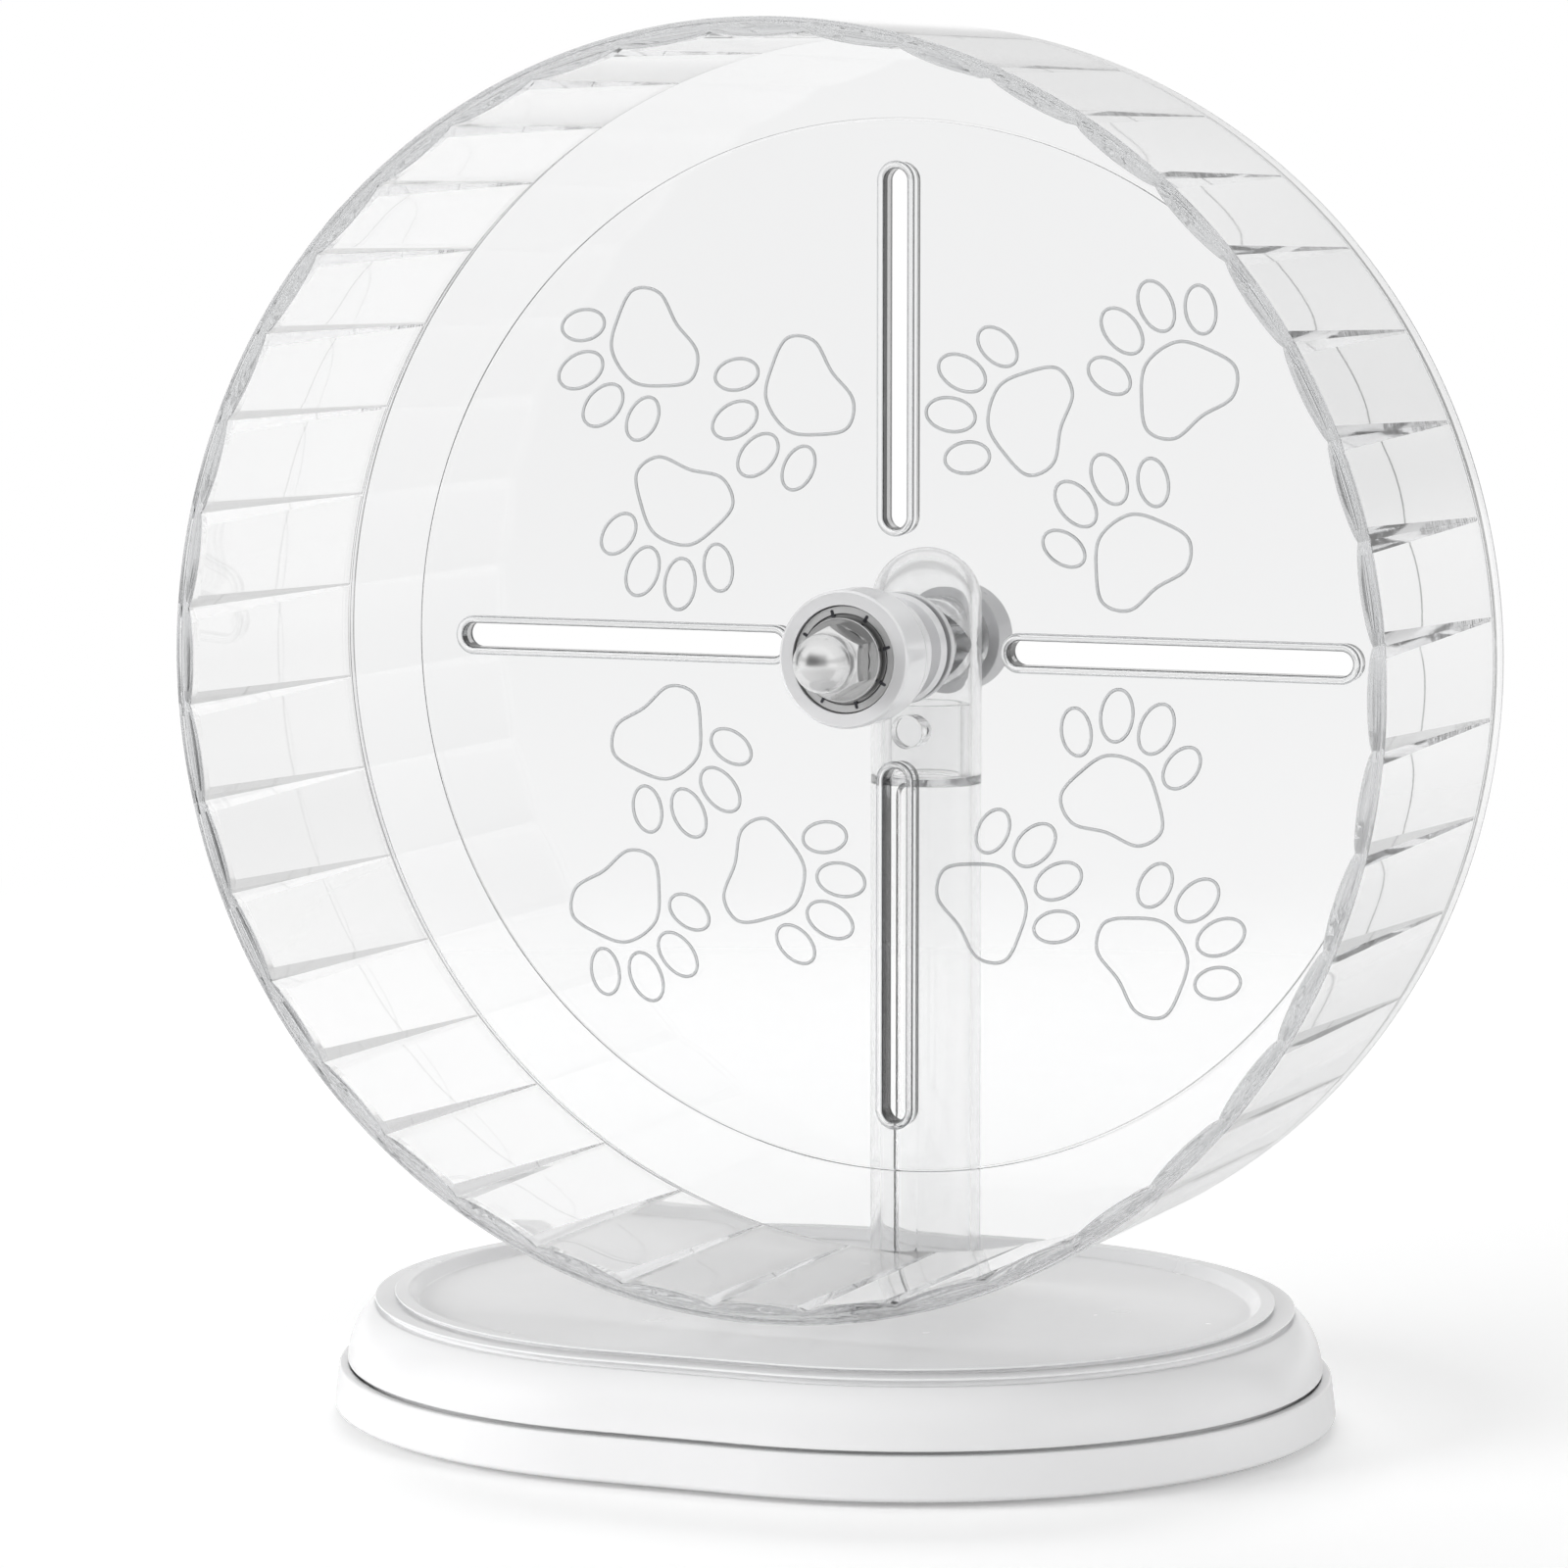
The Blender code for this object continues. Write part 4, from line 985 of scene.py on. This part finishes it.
def pan():
    """The lower shell, with recesses for screws and feet."""
    chamfer = 0.0008
    profile = [
        (0, PAN_TOP), (BASE_RADIUS - 0.0022, PAN_TOP), (BASE_RADIUS - 0.0032, SEAM_HEIGHT),
        (BASE_RADIUS - 0.0010, SEAM_HEIGHT), (BASE_RADIUS, PAN_FOOT + chamfer),
        (BASE_RADIUS - chamfer, PAN_FOOT), (0, PAN_FOOT),
    ]
    made = turned("base_skirt", eased(profile, 0.0005, closed=False), on_base, BASE_ROUND,
                  closed=False)
    tools = [bar("counterbore", COUNTERBORE_RADIUS, 0.0, COUNTERBORE_TOP, upright(x, y), RECESS_ROUND)
             for x, y in screws]
    tools += [bar("foot_seat", FOOT_RADIUS + GAP, 0.0, FOOT_SEAT_TOP, upright(x, y), RECESS_ROUND)
              for x, y in feet]
    carve(made, tools, "DIFFERENCE")
    dress(made, "stand", "white_plastic", gloss_white, "base_pan")


def rubber_feet():
    """Four feet with a fine ring groove in their undersides."""
    groove_top = 0.0004
    profile = [
        (0, FOOT_TOP), (FOOT_RADIUS, FOOT_TOP), (FOOT_RADIUS, 0.0), (0.0055, 0.0),
        (0.0052, groove_top), (0.0045, groove_top), (0.0042, 0.0), (0, 0.0),
    ]
    profile = eased(profile, 0.0003, closed=False)
    for number, (x, y) in enumerate(feet, start=1):
        made = turned(f"foot_{number}", profile, upright(x, y), SMALL_ROUND, closed=False)
        dress(made, "stand", "rubber", black_rubber, f"rubber_foot_{number}")


drum()
disc()
tracks()
# Dark beads at the slots' edges are painted shade.
slot_edge_painted_shade()
hub()
bearing()
crimps()
nut()
washer()
bolt()
spacer()
cap()
column_head()
column_post()
pin()
cover()
pan()
rubber_feet()

slot_finish = {
    "clear_plastic": clear_column,
    "white_plastic": gloss_white,
    "grey_plastic": cap_grey,
    "cage_plastic": cage_black,
    "bearing_steel": ground_steel,
    "dark_steel": dark_steel,
    "chrome": chrome,
    "rubber": black_rubber,
}
for part in frame["record"]["subparts"]:
    shown = frame["nodes"][part["node"]]
    shown.data.materials.clear()
    shown.data.materials.append(slot_finish[part["material_slot"]])


# Studio

WHITE = (1.0, 1.0, 1.0, 1.0)
FLOOR_ALBEDO = 0.95
FLOOR_GLOW = 0.25
FLOOR_RADIUS = 1.2
FLOOR_CORNERS = 64
FLOOR_LEVEL = -0.0002
SHADOW_RADIUS = 0.30
FADE_END = 0.8 * FLOOR_RADIUS

# Levels of the room as (place, level) stops, the ends first. Places from floor to ceiling run from 0,
# straight down, to 1, straight up. Places round the walls run from behind the camera, 0 and 1, through
# what it looks at, 0.5, which lies at this angle.
SIGHT_ANGLE = 112.74
STOREYS = ((0.0, 0.9), (1.0, 1.0), (0.53, 1.0), (0.57, 0.70), (0.64, 0.70), (0.69, 1.0))
SOFT_LIGHT = ((0.0, 0.7), (1.0, 0.10), (0.5, 0.65))
WALL_HEIGHT = ((0.0, 0.0), (1.0, 0.0), (0.42, 0.0), (0.48, 1.0), (0.70, 1.0), (0.88, 0.0))
WALLS = ((0.0, 0.45), (1.0, 0.45), (0.08, 1.0), (0.29, 1.0), (0.33, 0.20), (0.37, 1.0), (0.63, 1.0),
         (0.67, 0.20), (0.71, 1.0), (0.78, 1.0), (0.84, 0.25), (0.91, 0.25))

LAMP_AIM = Vector((0, 0, 0.13))
SENSOR_WIDTH = 36.0
LENS = 141.41
CAMERA_PLACE = (0.4748, -1.1590, 0.2603)
CAMERA_SIGHT = Vector((-0.38440, 0.91735, -0.10347))
BOUNCES = 32


def either(tree, first, second):
    """One where one of two kinds of ray is met."""
    made = add_node(tree, "ShaderNodeMath", operation="ADD")
    tree.links.new(first, made.inputs[0])
    tree.links.new(second, made.inputs[1])
    return made.outputs[0]


def times(tree, value, factor):
    made = add_node(tree, "ShaderNodeMath", operation="MULTIPLY")
    made.inputs[1].default_value = factor
    tree.links.new(value, made.inputs[0])
    return made.outputs[0]


def floor_material():
    """A lit white floor that takes the part's shadows.

    Further out it fades into plain white to sight, and is open to all other rays, which meet the room.
    """
    made, tree, shader = new_material("floor")
    set_inputs(shader, {"Base Color": grey(FLOOR_ALBEDO), "Roughness": 0.9,
                        "Specular IOR Level": 0.0, "Emission Color": WHITE})
    path = add_node(tree, "ShaderNodeLightPath")
    sight = either(tree, path.outputs["Is Camera Ray"], path.outputs["Is Transmission Ray"])
    tree.links.new(times(tree, sight, FLOOR_GLOW), shader.inputs["Emission Strength"])
    where = add_node(tree, "ShaderNodeTexCoord")
    reach = add_node(tree, "ShaderNodeVectorMath", operation="LENGTH")
    tree.links.new(where.outputs["Object"], reach.inputs[0])
    outward = add_node(tree, "ShaderNodeMapRange", {"From Min": SHADOW_RADIUS, "From Max": FADE_END},
                       interpolation_type="SMOOTHSTEP")
    tree.links.new(reach.outputs["Value"], outward.inputs["Value"])
    plain = add_node(tree, "ShaderNodeEmission", {"Color": WHITE})
    open_end = add_node(tree, "ShaderNodeBsdfTransparent")
    far = mixed_shaders(tree, path.outputs["Is Camera Ray"], open_end.outputs["BSDF"],
                        plain.outputs["Emission"])
    surface = mixed_shaders(tree, outward.outputs["Result"], shader.outputs["BSDF"], far)
    tree.links.new(surface, tree.nodes["Material Output"].inputs["Surface"])
    return made


def studio_floor():
    turns = [2 * math.pi * i / FLOOR_CORNERS for i in range(FLOOR_CORNERS)]
    verts = [(FLOOR_RADIUS * math.cos(turn), FLOOR_RADIUS * math.sin(turn), 0.0) for turn in turns]
    mesh = bpy.data.meshes.new("floor")
    mesh.from_pydata(verts, [], [tuple(range(FLOOR_CORNERS))])
    mesh.materials.append(floor_material())
    floor = bpy.data.objects.new("floor", mesh)
    floor.location.z = FLOOR_LEVEL
    bpy.context.scene.collection.objects.link(floor)


def ramp(tree, value, stops, interpolation="EASE"):
    """A colour ramp over a value. Its first two stops are its ends."""
    made = add_node(tree, "ShaderNodeValToRGB")
    made.color_ramp.interpolation = interpolation
    elements = made.color_ramp.elements
    for number, (position, level) in enumerate(stops):
        element = elements[number] if number < 2 else elements.new(position)
        element.position = position
        element.color = grey(level)
    tree.links.new(value, made.inputs["Fac"])
    return made.outputs["Color"]


def mixed_colours(tree, factor, first, second, blend="MIX"):
    mix = add_node(tree, "ShaderNodeMix", data_type="RGBA", blend_type=blend)
    tree.links.new(factor, mix.inputs["Factor"])
    tree.links.new(first, mix.inputs["A"])
    if second:
        tree.links.new(second, mix.inputs["B"])
    else:
        mix.inputs["B"].default_value = WHITE
    return mix.outputs["Result"]


def studio_world():
    """White to sight, a room to mirrored and bent rays, and otherwise soft light, least from above.

    The room has white walls that are dark in two corners and dim behind the camera and to its left, a
    grey band round them a little above the part, and a white ceiling.
    """
    world = bpy.data.worlds.new("studio")
    bpy.context.scene.world = world
    world.use_nodes = True
    tree = world.node_tree
    where = add_node(tree, "ShaderNodeTexCoord")
    split = add_node(tree, "ShaderNodeSeparateXYZ")
    tree.links.new(where.outputs["Generated"], split.inputs["Vector"])
    up = add_node(tree, "ShaderNodeMapRange", {"From Min": -1.0, "From Max": 1.0})
    tree.links.new(split.outputs["Z"], up.inputs["Value"])
    height = up.outputs["Result"]
    turn = add_node(tree, "ShaderNodeVectorRotate", {"Angle": -math.radians(SIGHT_ANGLE)},
                    rotation_type="Z_AXIS")
    tree.links.new(where.outputs["Generated"], turn.inputs["Vector"])
    around = add_node(tree, "ShaderNodeTexGradient", gradient_type="RADIAL")
    tree.links.new(turn.outputs["Vector"], around.inputs["Vector"])
    walls = ramp(tree, around.outputs["Fac"], WALLS)
    room = mixed_colours(tree, ramp(tree, height, WALL_HEIGHT), ramp(tree, height, STOREYS), walls,
                         "MULTIPLY")
    path = add_node(tree, "ShaderNodeLightPath")
    bent = either(tree, path.outputs["Is Glossy Ray"], path.outputs["Is Transmission Ray"])
    light = mixed_colours(tree, bent, ramp(tree, height, SOFT_LIGHT, "LINEAR"), room)
    seen = mixed_colours(tree, path.outputs["Is Camera Ray"], light, None)
    tree.links.new(seen, tree.nodes["Background"].inputs["Color"])


def softbox(name, place, size, power):
    """A soft lamp that lights the part but does not show in its gloss."""
    data = bpy.data.lights.new(name, "AREA")
    data.shape = "ELLIPSE"
    data.size, data.size_y = size
    data.energy = power
    made = bpy.data.objects.new(name, data)
    made.location = place
    made.rotation_euler = (LAMP_AIM - Vector(place)).to_track_quat("-Z", "Y").to_euler()
    made.visible_glossy = False
    made.visible_transmission = False
    bpy.context.scene.collection.objects.link(made)


def studio_camera():
    data = bpy.data.cameras.new("camera")
    data.sensor_width = SENSOR_WIDTH
    data.lens = LENS
    made = bpy.data.objects.new("camera", data)
    made.location = CAMERA_PLACE
    made.rotation_euler = CAMERA_SIGHT.to_track_quat("-Z", "Y").to_euler()
    bpy.context.scene.collection.objects.link(made)
    bpy.context.scene.camera = made


studio_floor()
studio_world()
softbox("key", (-1.4, -1.25, 0.6), size=(1.2, 0.9), power=27.0)
softbox("fill", (1.9, -0.6, 0.6), size=(0.9, 0.7), power=14.0)
softbox("back", (-0.55, 1.5, 1.0), size=(1.6, 0.5), power=16.0)
studio_camera()
bpy.context.scene.view_settings.view_transform = "Standard"
bpy.context.scene.cycles.max_bounces = BOUNCES
bpy.context.scene.cycles.transmission_bounces = BOUNCES
bpy.context.scene.cycles.glossy_bounces = BOUNCES
